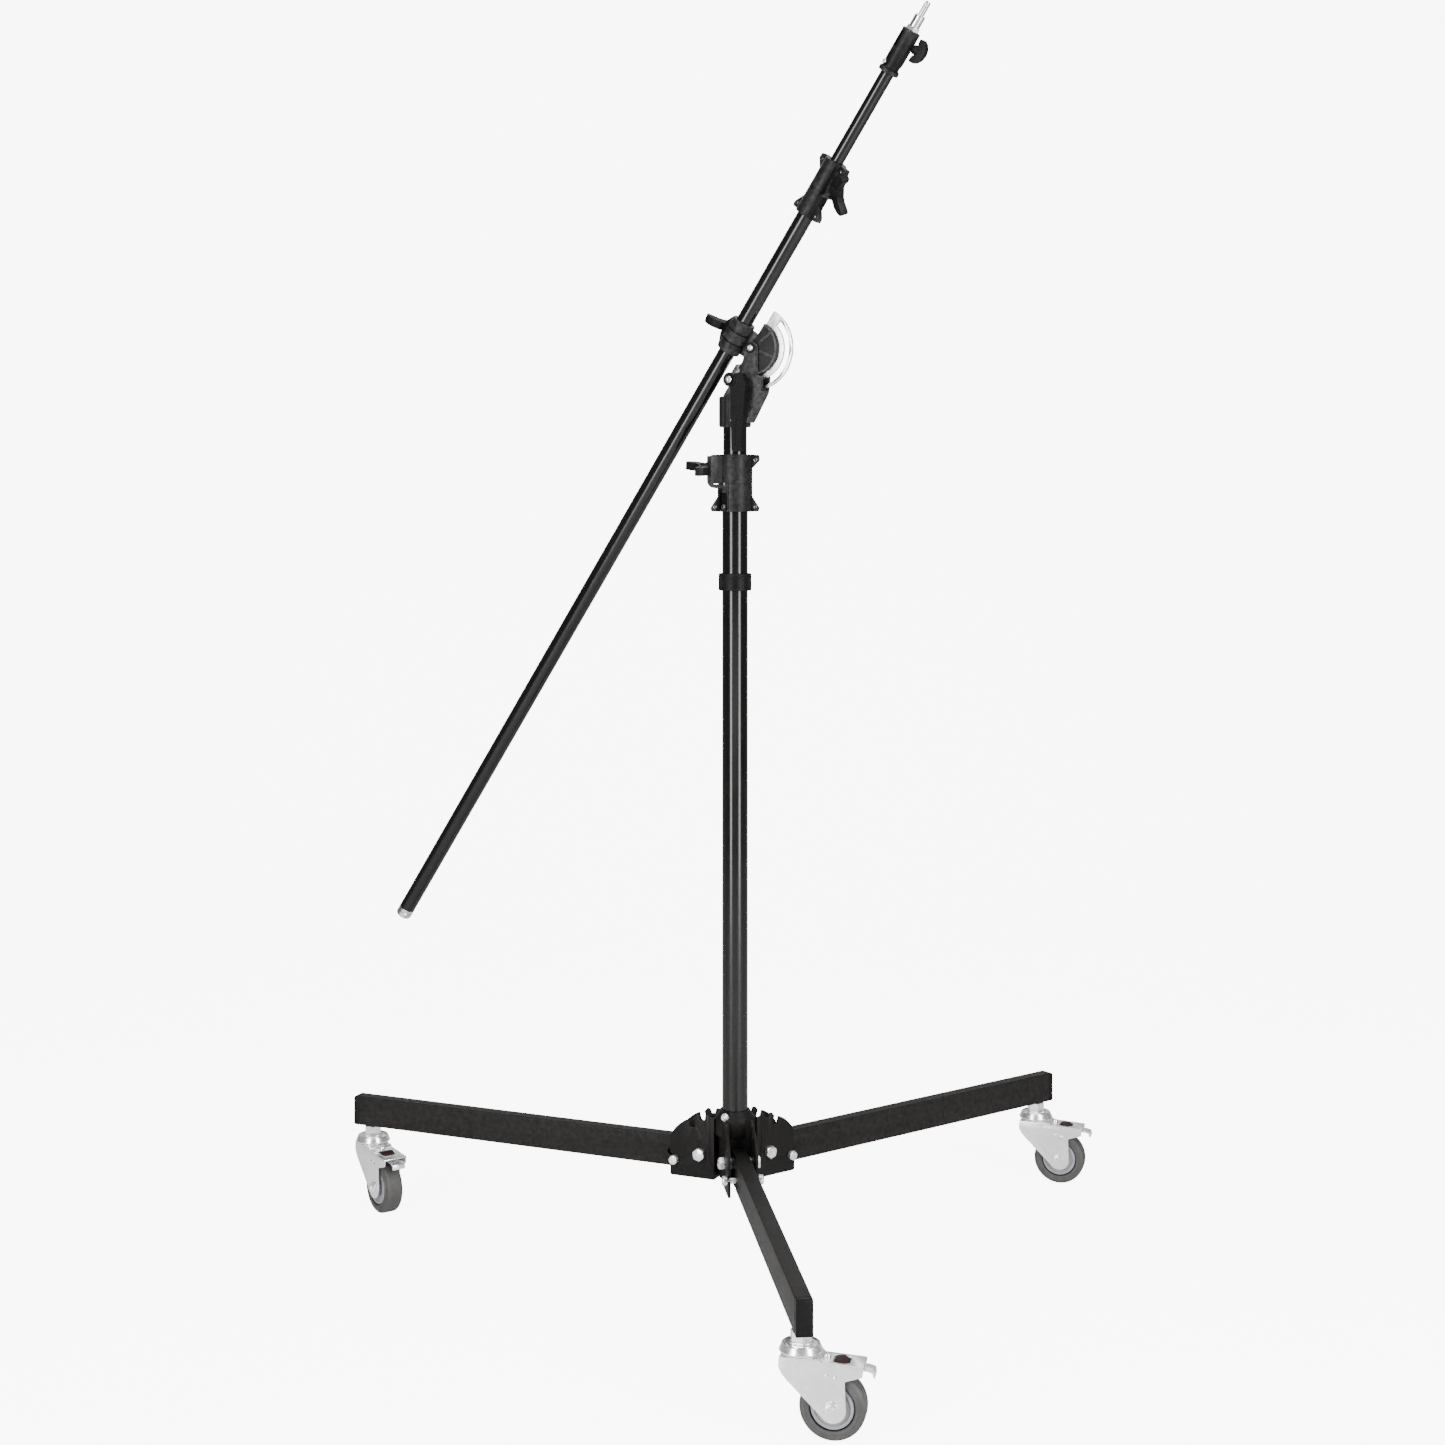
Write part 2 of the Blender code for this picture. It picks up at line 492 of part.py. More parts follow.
def head(root):
    frame = empty("head_frame", (0, 0, 0), (0, 0, HEAD_YAW), root)
    socket = [(0.0225, SOCKET_TOP), (SOCKET_R, SOCKET_TOP - 0.0015), (SOCKET_R, SOCKET_LOW + 0.0015),
              (0.0225, SOCKET_LOW), (RISER_R + GAP, SOCKET_LOW), (RISER_R + GAP, RISER_TOP + GAP),
              (0.005, RISER_TOP + GAP), (0.005, SOCKET_TOP)]
    turned("head_socket", socket, CASTING, frame, closed=True)
    pivot = empty("tilt_frame", (0, 0, TILT_Z), parent=frame)
    near, far, slot_near, slot_far = -0.0150, 0.0120, -0.0078, 0.0050
    yoke = prism("head_fork", fork_outline(), near, far, CASTING, pivot)
    slot = box_mesh("yoke_slot", (-0.05, slot_near, -0.0600), (0.1, slot_far, 0.05))
    boolean(yoke, add_mesh("yoke_slot", slot, None, pivot))
    # The quadrant's rim and the disc turn in this relief below the slot.
    relief = cylinder_mesh("yoke_relief", QUADRANT_R + 0.002, 0.0004, slot_far, 40, "Y")
    boolean(yoke, add_mesh("yoke_relief", relief, None, pivot, (TILT_X, 0, 0)))
    for tag, x, z in (("tilt", TILT_X, 0.0), ("lever", LEVER_X, LEVER_DZ)):
        hole = cylinder_mesh(tag + "_hole", 0.0043, -0.04, 0.04, 20, "Y")
        boolean(yoke, add_mesh(tag + "_hole", hole, None, pivot, (x, 0, z)))
    bolt(pivot, "tilt_pivot_bolt", (TILT_X, 0, 0), (near, far), 0.0062, 0.0045)
    bolt(pivot, "tilt_lock_bolt", (LEVER_X, 0, LEVER_DZ), (near, far), 0.0, 0.0190)
    lever(pivot, near)
    boom(empty("boom_frame", (TILT_X, 0, 0), (0, -BOOM_TILT, 0), pivot))


def bolt(pivot, name, location, faces, head_r, head_out):
    """Cross bolt with a nut on the far side; head_r 0 leaves a plain end for the lever."""
    near, far = faces
    r, nut_r = 0.004, 0.0075
    tip = -near + head_out
    outer = [(0, tip), (head_r, tip), (head_r, -near + GAP)] if head_r else [(0, tip)]
    profile = outer + [(r, tip if not head_r else -near + GAP), (r, -far - GAP), (nut_r, -far - GAP),
                       (nut_r, -far - 0.0065), (0, -far - 0.0065)]
    turned(name, profile, ZINC, pivot, location, (pi / 2, 0, 0), steps=18)


def lever(pivot, near):
    """Tilt lock lever: a broad cam head and a long tapering handle in front of the yoke."""
    axis = empty("lever_axis", (LEVER_X, 0, LEVER_DZ), parent=pivot)
    boss_back, back, front = near - 0.0008, -SOCKET_R - 0.0010, -SOCKET_R - 0.0125
    outline = hull_of_circles([(0.0055, -0.0120, 0.0045), (0.0080, -0.1015, 0.0045), (0.0150, -0.1010, 0.0045),
                               (0.0185, -0.0080, 0.0085), (0.0160, 0.0010, 0.0085)], 6)
    body = prism("tilt_lever", outline, front, back, PLASTIC, axis)
    boss = cylinder_mesh("lever_boss", 0.0092, front + 0.001, boss_back, 24, "Y")
    boolean(body, add_mesh("lever_boss", boss, None, axis), "UNION")
    bore = cylinder_mesh("lever_bore", 0.0043, -0.06, 0.0, 20, "Y")
    boolean(body, add_mesh("lever_bore", bore, None, axis))
    face = -front + GAP
    profile = [(0, face + 0.0030), (0.0040, face + 0.0030), (0.0058, face + 0.0015), (0.0058, face), (0, face)]
    turned("lever_screw", profile, ZINC, axis, (0, 0, 0), (pi / 2, 0, 0), steps=18)


def half_disc(radius, flat, rear_flat=None):
    """Disc on the side away from the boom; rear_flat carries its rear end further round."""
    front = degrees(asin(flat / radius))
    if rear_flat is None:
        return arc(0, 0, radius, front, -180 - front, 25)
    rear = degrees(asin(rear_flat / radius))
    return (arc(0, 0, radius, front, -180 - rear, 33)
            + [(-radius * 0.62, rear_flat), (-radius * 0.5, flat)])


def boom_part(frame):
    """Empty whose Z runs up the boom axis, for turned parts."""
    return empty("boom_axis", (0, BOOM_Y, BOOM_Z), (0, pi / 2, 0), frame)


def boom(frame):
    flat = 0.0057
    disc = prism("tilt_disc", half_disc(0.040, flat), -0.0075, 0.0004, CASTING, frame)
    quadrant = prism("tilt_quadrant", half_disc(QUADRANT_R, flat, 0.0160), 0.0008, 0.0046, CHROME, frame)
    slot_r = hypot(TILT_X - LEVER_X, LEVER_DZ)
    width = 0.0046
    path = (arc(0, 0, slot_r + width, -12, -182, 25) + arc(0, 0, slot_r - width, -182, -12, 25))
    boolean(quadrant, prism("quadrant_slot", path, -0.01, 0.01, None, frame))
    for part in (disc, quadrant):
        hole = cylinder_mesh(part.name + "_hole", 0.0043, -0.02, 0.02, 20, "Y")
        boolean(part, add_mesh(part.name + "_hole", hole, None, frame))
    along = boom_part(frame)
    boom_collar(frame, along, flat)
    tube("boom_tube", BOOM_R, BOOM_R - BOOM_WALL, BOOM_LOW, BOOM_HIGH, TUBE_BLACK, along, steps=28)
    plug = [(0, BOOM_LOW + 0.012), (0.0100, BOOM_LOW + 0.012), (0.0100, BOOM_LOW - GAP), (BOOM_R, BOOM_LOW - GAP),
            (BOOM_R, PLUG_END + 0.002), (0.0110, PLUG_END), (0, PLUG_END)]
    turned("boom_end_plug", plug, CHROME, along, steps=24)
    extension(along)


def boom_collar(frame, along, flat):
    half, outer = 0.0255, 0.018
    body = turned("boom_collar", [(0, half), (outer, half), (outer, -half), (0, -half)], CASTING, along,
                  steps=32)
    neck = box_mesh("collar_neck", (-0.0200, -0.0075, flat + GAP), (0.0200, 0.0004, BOOM_Z - 0.004))
    boolean(body, add_mesh("collar_neck", neck, None, frame), "UNION")
    knob_axis = empty("boom_knob_axis", (0, BOOM_Y, BOOM_Z), (-BOOM_KNOB_LEAN, 0, 0), frame)
    top = BOOM_KNOB_OUT - GAP
    saddle = [(-half, 0), (half, 0), (half, 0.014), (0.0095, top), (-0.0095, top), (-half, 0.014)]
    boolean(body, prism("collar_boss", saddle, -0.0125, 0.0125, None, knob_axis), "UNION")
    bore = cylinder_mesh("collar_bore", BOOM_R + 0.0004, -0.05, 0.05, 28)
    boolean(body, add_mesh("collar_bore", bore, None, along))
    wing_knob("boom_knob", knob_axis, (0, 0, BOOM_KNOB_OUT), (0, 0, 0), WING_SPAN, radians(80))


def extension(along):
    """Extension clamp, sliding tube, receiver, thumbscrew and spigot. Local X of along is down."""
    length = EXT_CLAMP_HIGH - EXT_CLAMP_LOW
    heading = EXT_KNOB_HEADING
    clamp_body("ext_clamp_body", along, (0, 0, EXT_EARS_TURN), (0, 0, EXT_CLAMP_LOW), length,
               BOOM_HIGH - EXT_CLAMP_LOW + GAP, (EXT_CLAMP_R, BOOM_R + GAP, EXT_R + 0.0004),
               (0.027, 0.0175), (0.058, 0.010, 0.024, EXT_KNOB_OUT, heading - EXT_EARS_TURN))
    reach = EXT_KNOB_OUT + GAP
    wing_knob("ext_knob", along, (reach * cos(heading), reach * sin(heading), EXT_CLAMP_LOW + EXT_KNOB_DZ),
              (pi / 2, 0, heading + pi / 2), WING_SPAN, radians(-56))
    tube("ext_tube", EXT_R, EXT_R - EXT_WALL, EXT_LOW, EXT_HIGH, TUBE_BLACK, along, steps=24)
    receiver(along)


def receiver(along):
    low, high, outer = RECEIVER_LOW, RECEIVER_HIGH, RECEIVER_R
    floor = EXT_HIGH + GAP
    profile = [(0.0128, high), (outer, high - 0.001), (outer, low + 0.018), (0.0120, low + 0.009),
               (0.0155, low + 0.006), (0.0155, low + 0.001), (0.0145, low), (EXT_R + GAP, low), (EXT_R + GAP, floor),
               (0.004, floor), (0.004, floor + 0.0020), (0.0083, floor + 0.0020), (0.0083, high)]
    body = turned("tip_receiver", profile, CASTING, along, closed=True, steps=20)
    knob_z, knob_heading = high - 0.020, 0.0
    screw_z, screw_heading = low + 0.013, radians(-125)
    hole = cylinder_mesh("tip_knob_hole", 0.0034, 0.0, 0.02, 20, "X")
    boolean(body, add_mesh("tip_knob_hole", hole, None, along, (0, 0, knob_z), (0, 0, knob_heading)))
    knob = [(0, 0.0270), (0.0062, 0.0270), (0.0070, 0.0180), (0.0029, 0.0175), (0.0029, 0.0092), (0, 0.0092)]
    stem = turned("tip_knob", knob, PLASTIC, along, (0, 0, knob_z), (0, pi / 2, knob_heading), steps=20)
    bar = hull_of_circles([(0.013, 0.0250, 0.0050), (0.004, 0.0330, 0.0060), (-0.004, 0.0330, 0.0060),
                           (-0.013, 0.0250, 0.0050)], 5)
    boolean(stem, prism("tip_bar", bar, -0.0045, 0.0045, None, stem), "UNION")
    hole = cylinder_mesh("tip_screw_hole", 0.0025, 0.0, 0.02, 16, "X")
    boolean(body, add_mesh("tip_screw_hole", hole, None, along, (0, 0, screw_z), (0, 0, screw_heading)))
    screw = [(0, 0.0162), (0.0030, 0.0162), (0.0038, 0.0146), (0.0038, 0.0140), (0.0020, 0.0140),
             (0.0020, 0.0107), (0, 0.0107)]
    turned("tip_screw", screw, ZINC, along, (0, 0, screw_z), (0, pi / 2, screw_heading), steps=16)
    top = SPIGOT_TOP
    spigot = [(0, top), (0.0042, top), (0.0048, top - 0.001), (0.0048, top - 0.020), (0.0078, top - 0.022),
              (0.0078, high + 0.006), (0.0105, high + 0.0055), (0.0105, high + GAP), (0.0080, high + GAP),
              (0.0080, high - 0.0110), (0.0064, high - 0.0115), (0.0064, floor + 0.0025), (0, floor + 0.0025)]
    turned("spigot", spigot, CHROME, along, steps=24)


def main():
    root = empty("stand_root", (ORIGIN_X, ORIGIN_Y, 0))
    base_unit(root)
    column(root)
    riser_clamp(root)
    head(root)


main()
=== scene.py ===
"""Looks of the rolling boom light stand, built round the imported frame. Shapes are drawn in millimetres."""
import json
import bpy
import bmesh
from math import acos, atan2, cos, degrees, hypot, pi, radians, sin
from mathutils import Matrix, Vector


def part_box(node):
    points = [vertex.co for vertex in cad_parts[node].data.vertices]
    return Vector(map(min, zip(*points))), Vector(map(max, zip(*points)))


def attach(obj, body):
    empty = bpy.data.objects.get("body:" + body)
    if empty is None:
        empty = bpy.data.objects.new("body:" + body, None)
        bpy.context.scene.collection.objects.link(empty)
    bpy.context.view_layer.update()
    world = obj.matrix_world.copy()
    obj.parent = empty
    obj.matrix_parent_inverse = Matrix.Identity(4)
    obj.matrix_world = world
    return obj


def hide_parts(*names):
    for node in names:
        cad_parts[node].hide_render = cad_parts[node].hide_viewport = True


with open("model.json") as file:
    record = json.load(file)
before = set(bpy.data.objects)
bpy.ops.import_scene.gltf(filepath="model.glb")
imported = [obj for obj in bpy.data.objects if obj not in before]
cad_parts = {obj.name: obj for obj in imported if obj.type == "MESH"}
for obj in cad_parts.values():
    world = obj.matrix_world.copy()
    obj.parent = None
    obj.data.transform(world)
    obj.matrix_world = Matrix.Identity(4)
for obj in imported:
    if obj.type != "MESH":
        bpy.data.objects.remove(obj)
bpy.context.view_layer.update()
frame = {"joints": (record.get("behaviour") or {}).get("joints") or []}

MM = 0.001
UP = Vector((0, 0, 1))
JOINTS = {joint["name"]: joint for joint in frame["joints"]}
LEGS = ("front", "right", "left")


# ---------------------------------------------------------------- frames

def middle(node):
    low, high = (Vector(corner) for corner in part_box(node))
    return (low + high) / 2


def local_frame(origin, x_axis, y_axis):
    """Matrix from a local frame in millimetres to the row frame in metres."""
    x_axis, y_axis = Vector(x_axis).normalized(), Vector(y_axis).normalized()
    z_axis = x_axis.cross(y_axis)
    turn = Matrix((x_axis, y_axis, z_axis)).transposed().to_4x4()
    return Matrix.Translation(origin) @ turn @ Matrix.Scale(MM, 4)


def joint_axis(name):
    return Vector(JOINTS[name]["axis"])


def joint_point(name):
    return Vector(JOINTS[name]["pos_m"])


COLUMN = middle("column_tube")
COLUMN.z = 0.0
STAND = local_frame(COLUMN, (1, 0, 0), (0, 1, 0))
LEG_FRAMES, STEM_FRAMES, FORK_FRAMES = {}, {}, {}
for leg_name in LEGS:
    outward = UP.cross(joint_axis("leg_%s_fold" % leg_name))
    LEG_FRAMES[leg_name] = local_frame(COLUMN, outward, UP.cross(outward))
    stem_foot = joint_point("caster_%s_swivel" % leg_name)
    stem_foot.z = 0.0
    STEM_FRAMES[leg_name] = local_frame(stem_foot, outward, UP.cross(outward))
    trailing = joint_axis("wheel_%s_spin" % leg_name).cross(UP)
    FORK_FRAMES[leg_name] = local_frame(stem_foot, trailing, UP.cross(trailing))
TILT_POINT = joint_point("boom_tilt")
ACROSS = -joint_axis("boom_tilt")
FORWARD = ACROSS.cross(UP)
HEAD = local_frame((COLUMN.x, COLUMN.y, TILT_POINT.z), FORWARD, ACROSS)
BOOM_DIRECTION = joint_axis("boom_slide")
BOOM = local_frame(TILT_POINT, BOOM_DIRECTION, ACROSS)
BOOM_Y, BOOM_Z = -12.0, 32.4
TILT_X = (TILT_POINT - Vector((COLUMN.x, COLUMN.y, TILT_POINT.z))).dot(FORWARD) / MM


def turned_frame(base, origin, direction, side=(0, 0, 1)):
    """Frame inside a base frame whose Z runs along direction, for turned parts."""
    z_axis = Vector(direction).normalized()
    x_axis = Vector(side) - z_axis * Vector(side).dot(z_axis)
    if x_axis.length < 0.01:
        x_axis = Vector((1, 0, 0)) - z_axis * z_axis.x
    x_axis.normalize()
    y_axis = z_axis.cross(x_axis)
    turn = Matrix((x_axis, y_axis, z_axis)).transposed().to_4x4()
    return base @ Matrix.Translation(origin) @ turn


ALONG = turned_frame(BOOM, (0, BOOM_Y, BOOM_Z), (1, 0, 0), (0, 0, -1))


# ---------------------------------------------------------------- outlines

def arc(cx, cy, radius, start, end, count):
    angles = [radians(start + (end - start) * i / (count - 1)) for i in range(count)]
    return [(cx + radius * cos(a), cy + radius * sin(a)) for a in angles]


def fillet(points, radius, count=4, closed=True):
    """Rounds the corners of an outline; radius may be one number or one for each corner."""
    total = len(points)
    result = []
    for i, (x, y) in enumerate(points):
        r = radius[i] if isinstance(radius, (list, tuple)) else radius
        if r <= 0 or (not closed and i in (0, total - 1)):
            result.append((x, y))
            continue
        here = Vector((x, y))
        before = Vector(points[i - 1]) - here
        after = Vector(points[(i + 1) % total]) - here
        half = before.angle(after, 0) / 2
        if half > radians(86) or before.length == 0 or after.length == 0:
            result.append((x, y))
            continue
        reach = min(r / max(0.05, abs(sin(half) / cos(half))), before.length * 0.48, after.length * 0.48)
        start, end = here + before.normalized() * reach, here + after.normalized() * reach
        for step in range(count + 1):
            t = step / count
            point = start * (1 - t) ** 2 + here * 2 * t * (1 - t) + end * t ** 2
            result.append((point.x, point.y))
    return result


def hull_of_circles(circles, count=9):
    """Outline round circles (x, y, radius) given anticlockwise, joined by their outer tangents."""
    points = []
    total = len(circles)
    for i, (x, y, r) in enumerate(circles):
        px, py, pr = circles[i - 1]
        nx, ny, nr = circles[(i + 1) % total]
        start = atan2(y - py, x - px) - acos(max(-1, min(1, (pr - r) / hypot(x - px, y - py))))
        end = atan2(ny - y, nx - x) - acos(max(-1, min(1, (r - nr) / hypot(nx - x, ny - y))))
        while end < start:
            end += 2 * pi
        points += arc(x, y, r, degrees(start), degrees(end), count)
    return points


def capsule(x0, y0, x1, y1, radius, count=9):
    return hull_of_circles([(x0, y0, radius), (x1, y1, radius)], count)


def regular(sides, radius):
    return [(radius * cos(2 * pi * i / sides), radius * sin(2 * pi * i / sides)) for i in range(sides)]


def mirrored_up(points):
    """The rest of an outline that is the same above and below its middle."""
    return [(x, -y) for x, y in reversed(points)]


def mirrored_across(points):
    """The rest of an outline that is the same on the left and the right."""
    return [(-x, y) for x, y in reversed(points)]


# ---------------------------------------------------------------- solids

def lathe(profile, steps=64, ring=False):
    """Closed solid turned about Z from (radius, height) points; a ring's profile closes on itself."""
    bm = bmesh.new()
    rings = []
    for r, z in profile:
        if r < 1e-6:
            rings.append([bm.verts.new((0, 0, z))])
        else:
            rings.append([bm.verts.new((r * cos(2 * pi * i / steps), r * sin(2 * pi * i / steps), z))
                          for i in range(steps)])
    pairs = list(zip(rings, rings[1:]))
    if ring:
        pairs.append((rings[-1], rings[0]))
    for lower, upper in pairs:
        for i in range(steps):
            j = (i + 1) % steps
            corners = [lower[i % len(lower)], lower[j % len(lower)], upper[j % len(upper)],
                       upper[i % len(upper)]]
            corners = [v for k, v in enumerate(corners) if v not in corners[:k]]
            if len(corners) > 2:
                bm.faces.new(corners)
    bmesh.ops.recalc_face_normals(bm, faces=bm.faces)
    return bm


def rod(radius, low, high, steps=32):
    """Plain round bar along Z."""
    return lathe([(0, low), (radius, low), (radius, high), (0, high)], steps)


def prism(outline, low, high, plane="XZ"):
    """Closed solid of a flat outline: plane XZ is drawn in x and z and thick along y, XY thick along z."""
    bm = bmesh.new()
    layers = []
    for depth in (low, high):
        if plane == "XZ":
            layers.append([bm.verts.new((a, depth, b)) for a, b in outline])
        elif plane == "YZ":
            layers.append([bm.verts.new((depth, a, b)) for a, b in outline])
        else:
            layers.append([bm.verts.new((a, b, depth)) for a, b in outline])
    total = len(outline)
    bm.faces.new(layers[0])
    bm.faces.new(layers[1][::-1])
    for i in range(total):
        j = (i + 1) % total
        bm.faces.new((layers[0][j], layers[0][i], layers[1][i], layers[1][j]))
    bmesh.ops.recalc_face_normals(bm, faces=bm.faces)
    return bm


def block(low, high):
    bm = bmesh.new()
    bmesh.ops.create_cube(bm, size=1.0)
    bmesh.ops.scale(bm, vec=[h - l for l, h in zip(low, high)], verts=bm.verts)
    bmesh.ops.translate(bm, vec=[(l + h) / 2 for l, h in zip(low, high)], verts=bm.verts)
    return bm


def moved(bm, matrix):
    bmesh.ops.transform(bm, matrix=matrix, verts=bm.verts)
    return bm


def along_axis(bm, origin, direction, side=(0, 0, 1)):
    """Stands a solid drawn about Z at origin along direction."""
    return moved(bm, turned_frame(Matrix.Identity(4), origin, direction, side))


def cross_hole(radius, reach, x, z, steps=32):
    """Round bar along Y that cuts a hole through the point (x, z)."""
    return along_axis(rod(radius, -reach, reach, steps), (x, 0, z), (0, 1, 0))


def as_object(bm, name="solid"):
    mesh = bpy.data.meshes.new(name)
    bm.normal_update()
    bm.to_mesh(mesh)
    bm.free()
    obj = bpy.data.objects.new(name, mesh)
    bpy.context.scene.collection.objects.link(obj)
    return obj


def bake_modifiers(obj):
    """Applies an object's modifiers to its mesh."""
    graph = bpy.context.evaluated_depsgraph_get()
    mesh = bpy.data.meshes.new_from_object(obj.evaluated_get(graph))
    old = obj.data
    obj.modifiers.clear()
    obj.data = mesh
    bpy.data.meshes.remove(old)
    return obj


def bevelled(obj, width, segments=2, angle=38):
    mod = obj.modifiers.new("edges", "BEVEL")
    mod.width = width
    mod.segments = segments
    mod.limit_method = "ANGLE"
    mod.angle_limit = radians(angle)
    return bake_modifiers(obj)


def combine(obj, solids, operation):
    """Joins solids to obj, or cuts them from it, and applies the result."""
    for bm in solids:
        tool = as_object(bm, "tool")
        mod = obj.modifiers.new("combine", "BOOLEAN")
        mod.operation = operation
        mod.solver = "EXACT"
        mod.object = tool
        bpy.context.view_layer.update()
        bake_modifiers(obj)
        bpy.data.objects.remove(tool, do_unlink=True)
    return obj


def soften(mesh, limit=32):
    """Smooth shading with sharp edges kept above an angle."""
    bm = bmesh.new()
    bm.from_mesh(mesh)
    bmesh.ops.remove_doubles(bm, verts=bm.verts, dist=0.0005)
    bmesh.ops.dissolve_degenerate(bm, edges=bm.edges, dist=0.0005)
    for face in bm.faces:
        face.smooth = True
    for edge in bm.edges:
        edge.smooth = len(edge.link_faces) == 2 and edge.calc_face_angle(0) < radians(limit)
    bm.to_mesh(mesh)
    bm.free()


def piece(name, solid, matrix, body, material, replaced=(), limit=32):
    """Finishes a solid as a named piece: placed, shaded, coloured and riding on its body."""
    obj = as_object(solid, name) if isinstance(solid, bmesh.types.BMesh) else solid
    obj.name = name
    obj.data.name = name
    soften(obj.data, limit)
    obj.data.transform(matrix)
    obj.data.materials.clear()
    obj.data.materials.append(material)
    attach(obj, body)
    if replaced:
        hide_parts(*replaced)
    return obj


# ---------------------------------------------------------------- materials

class Nodes:
    """Small helper to write a shader's node tree in a few lines."""

    def __init__(self, name):
        self.material = bpy.data.materials.new(name)
        self.material.use_nodes = True
        self.tree = self.material.node_tree
        self.shader = self.tree.nodes["Principled BSDF"]
        self.place = self.tree.nodes.new("ShaderNodeTexCoord").outputs["Object"]

    def add(self, kind, **values):
        node = self.tree.nodes.new("ShaderNode" + kind)
        for key, value in values.items():
            if key in node.inputs:
                node.inputs[key].default_value = value
            else:
                setattr(node, key, value)
        return node

    def link(self, out, into):
        self.tree.links.new(out, into)
        return into.node

    def noise(self, scale, detail=3.0, roughness=0.55, stretch=None):
        node = self.add("TexNoise", Scale=scale, Detail=detail, Roughness=roughness)
        source = self.place
        if stretch:
            mapping = self.add("Mapping")
            mapping.inputs["Scale"].default_value = stretch
            self.link(source, mapping.inputs["Vector"])
            source = mapping.outputs["Vector"]
        self.link(source, node.inputs["Vector"])
        return node.outputs["Fac"]

    def ramp(self, source, stops):
        node = self.add("ValToRGB")
        ramp = node.color_ramp
        while len(ramp.elements) < len(stops):
            ramp.elements.new(0.5)
        for element, (position, colour) in zip(ramp.elements, stops):
            element.position = position
            element.color = (*colour, 1.0)
        self.link(source, node.inputs["Fac"])
        return node.outputs["Color"]

    def spread(self, source, low, high):
        node = self.add("MapRange")
        node.inputs["From Min"].default_value = 0.3
        node.inputs["From Max"].default_value = 0.7
        node.inputs["To Min"].default_value = low
        node.inputs["To Max"].default_value = high
        self.link(source, node.inputs["Value"])
        return node.outputs["Result"]

    def bump(self, source, strength, distance, below=None):
        node = self.add("Bump", Strength=strength, Distance=distance)
        self.link(source, node.inputs["Height"])
        if below is not None:
            self.link(below, node.inputs["Normal"])
        return node.outputs["Normal"]

    def grained(self, grain, below=None):
        """Bump that follows noise: grain is a noise, a strength and a depth."""
        noise, strength, depth = grain
        return self.bump(self.noise(*noise), strength, depth, below)

    def worn_edges(self, colour, worn, amount):
        """Mixes a worn colour in on convex edges, broken up by noise."""
        edge = self.spread(self.add("NewGeometry").outputs["Pointiness"], 0.0, 1.0)
        edge.node.inputs["From Min"].default_value = 0.53
        edge.node.inputs["From Max"].default_value = 0.62
        scatter = self.add("Math", operation="MULTIPLY")
        self.link(edge, scatter.inputs[0])
        self.link(self.spread(self.noise(140.0, 4.0), 0.0, amount), scatter.inputs[1])
        mix = self.add("Mix", data_type="RGBA")
        self.link(scatter.outputs[0], mix.inputs[0])
        self.link(colour, mix.inputs[6])
        mix.inputs[7].default_value = (*worn, 1.0)
        return mix.outputs[2]

    def finish(self, colour, rough, normal, **constants):
        for socket, source in (("Base Color", colour), ("Roughness", rough), ("Normal", normal)):
            self.link(source, self.shader.inputs[socket])
        for key, value in constants.items():
            self.shader.inputs[key.replace("_", " ")].default_value = value
        return self.material


def surface(name, tone, shades, rough, grain, worn=None, fine=None, **constants):
    """Material whose colour, roughness and bump follow noise.

    rough is a noise with its lowest and highest value, worn the colour and amount of rubbed edges,
    and fine a second grain under the first.
    """
    n = Nodes(name)
    colour = n.ramp(n.noise(*tone), shades)
    if worn:
        colour = n.worn_edges(colour, *worn)
    rough_noise, low, high = rough
    below = n.grained(fine) if fine else None
    return n.finish(colour, n.spread(n.noise(*rough_noise), low, high), n.grained(grain, below),
                    **constants)


def moulded_plastic(name, base):
    """Fine spark-eroded plastic."""
    light = tuple(c * 1.7 for c in base)
    return surface(name, (18.0, 3.0), [(0.3, base), (0.75, light)], ((50.0,), 0.40, 0.54),
                   ((1300.0, 2.0), 0.3, 0.0003), Specular_IOR_Level=0.12)


# Satin textured black powder coat.
POWDER = surface("powder_coat", (9.0, 4.0),
                 [(0.3, (0.0072, 0.0065, 0.0061)), (0.75, (0.0088, 0.0080, 0.0075))],
                 ((60.0,), 0.47, 0.50), ((1500.0, 2.0), 0.25, 0.0003), ((0.08, 0.075, 0.07), 0.25),
                 Specular_IOR_Level=0.10)
# Gloss black enamel on tube, with faint orange peel.
GLOSS = surface("gloss_tube", (14.0, 3.0),
                [(0.3, (0.0030, 0.0026, 0.0025)), (0.75, (0.0056, 0.0048, 0.0046))],
                ((35.0, 5.0, 0.6), 0.14, 0.19), ((260.0, 2.0), 0.02, 0.0002), Specular_IOR_Level=0.38)
# Black painted die casting.
CASTING = surface("casting", (22.0, 4.0),
                  [(0.3, (0.0032, 0.0032, 0.0033)), (0.7, (0.0052, 0.0052, 0.0054))],
                  ((80.0,), 0.34, 0.48), ((900.0, 3.0), 0.20, 0.0004), ((0.13, 0.13, 0.13), 0.55),
                  Specular_IOR_Level=0.12)
# Head casting, a slightly greyer black.
GREY_CASTING = surface("head_casting", (30.0, 4.0),
                       [(0.3, (0.0085, 0.0087, 0.0092)), (0.7, (0.0130, 0.0132, 0.0138))],
                       ((90.0,), 0.42, 0.56), ((1100.0, 3.0), 0.2, 0.0004), ((0.2, 0.2, 0.2), 0.5),
                       Specular_IOR_Level=0.15)
PLASTIC = moulded_plastic("plastic", (0.0035, 0.0035, 0.0037))
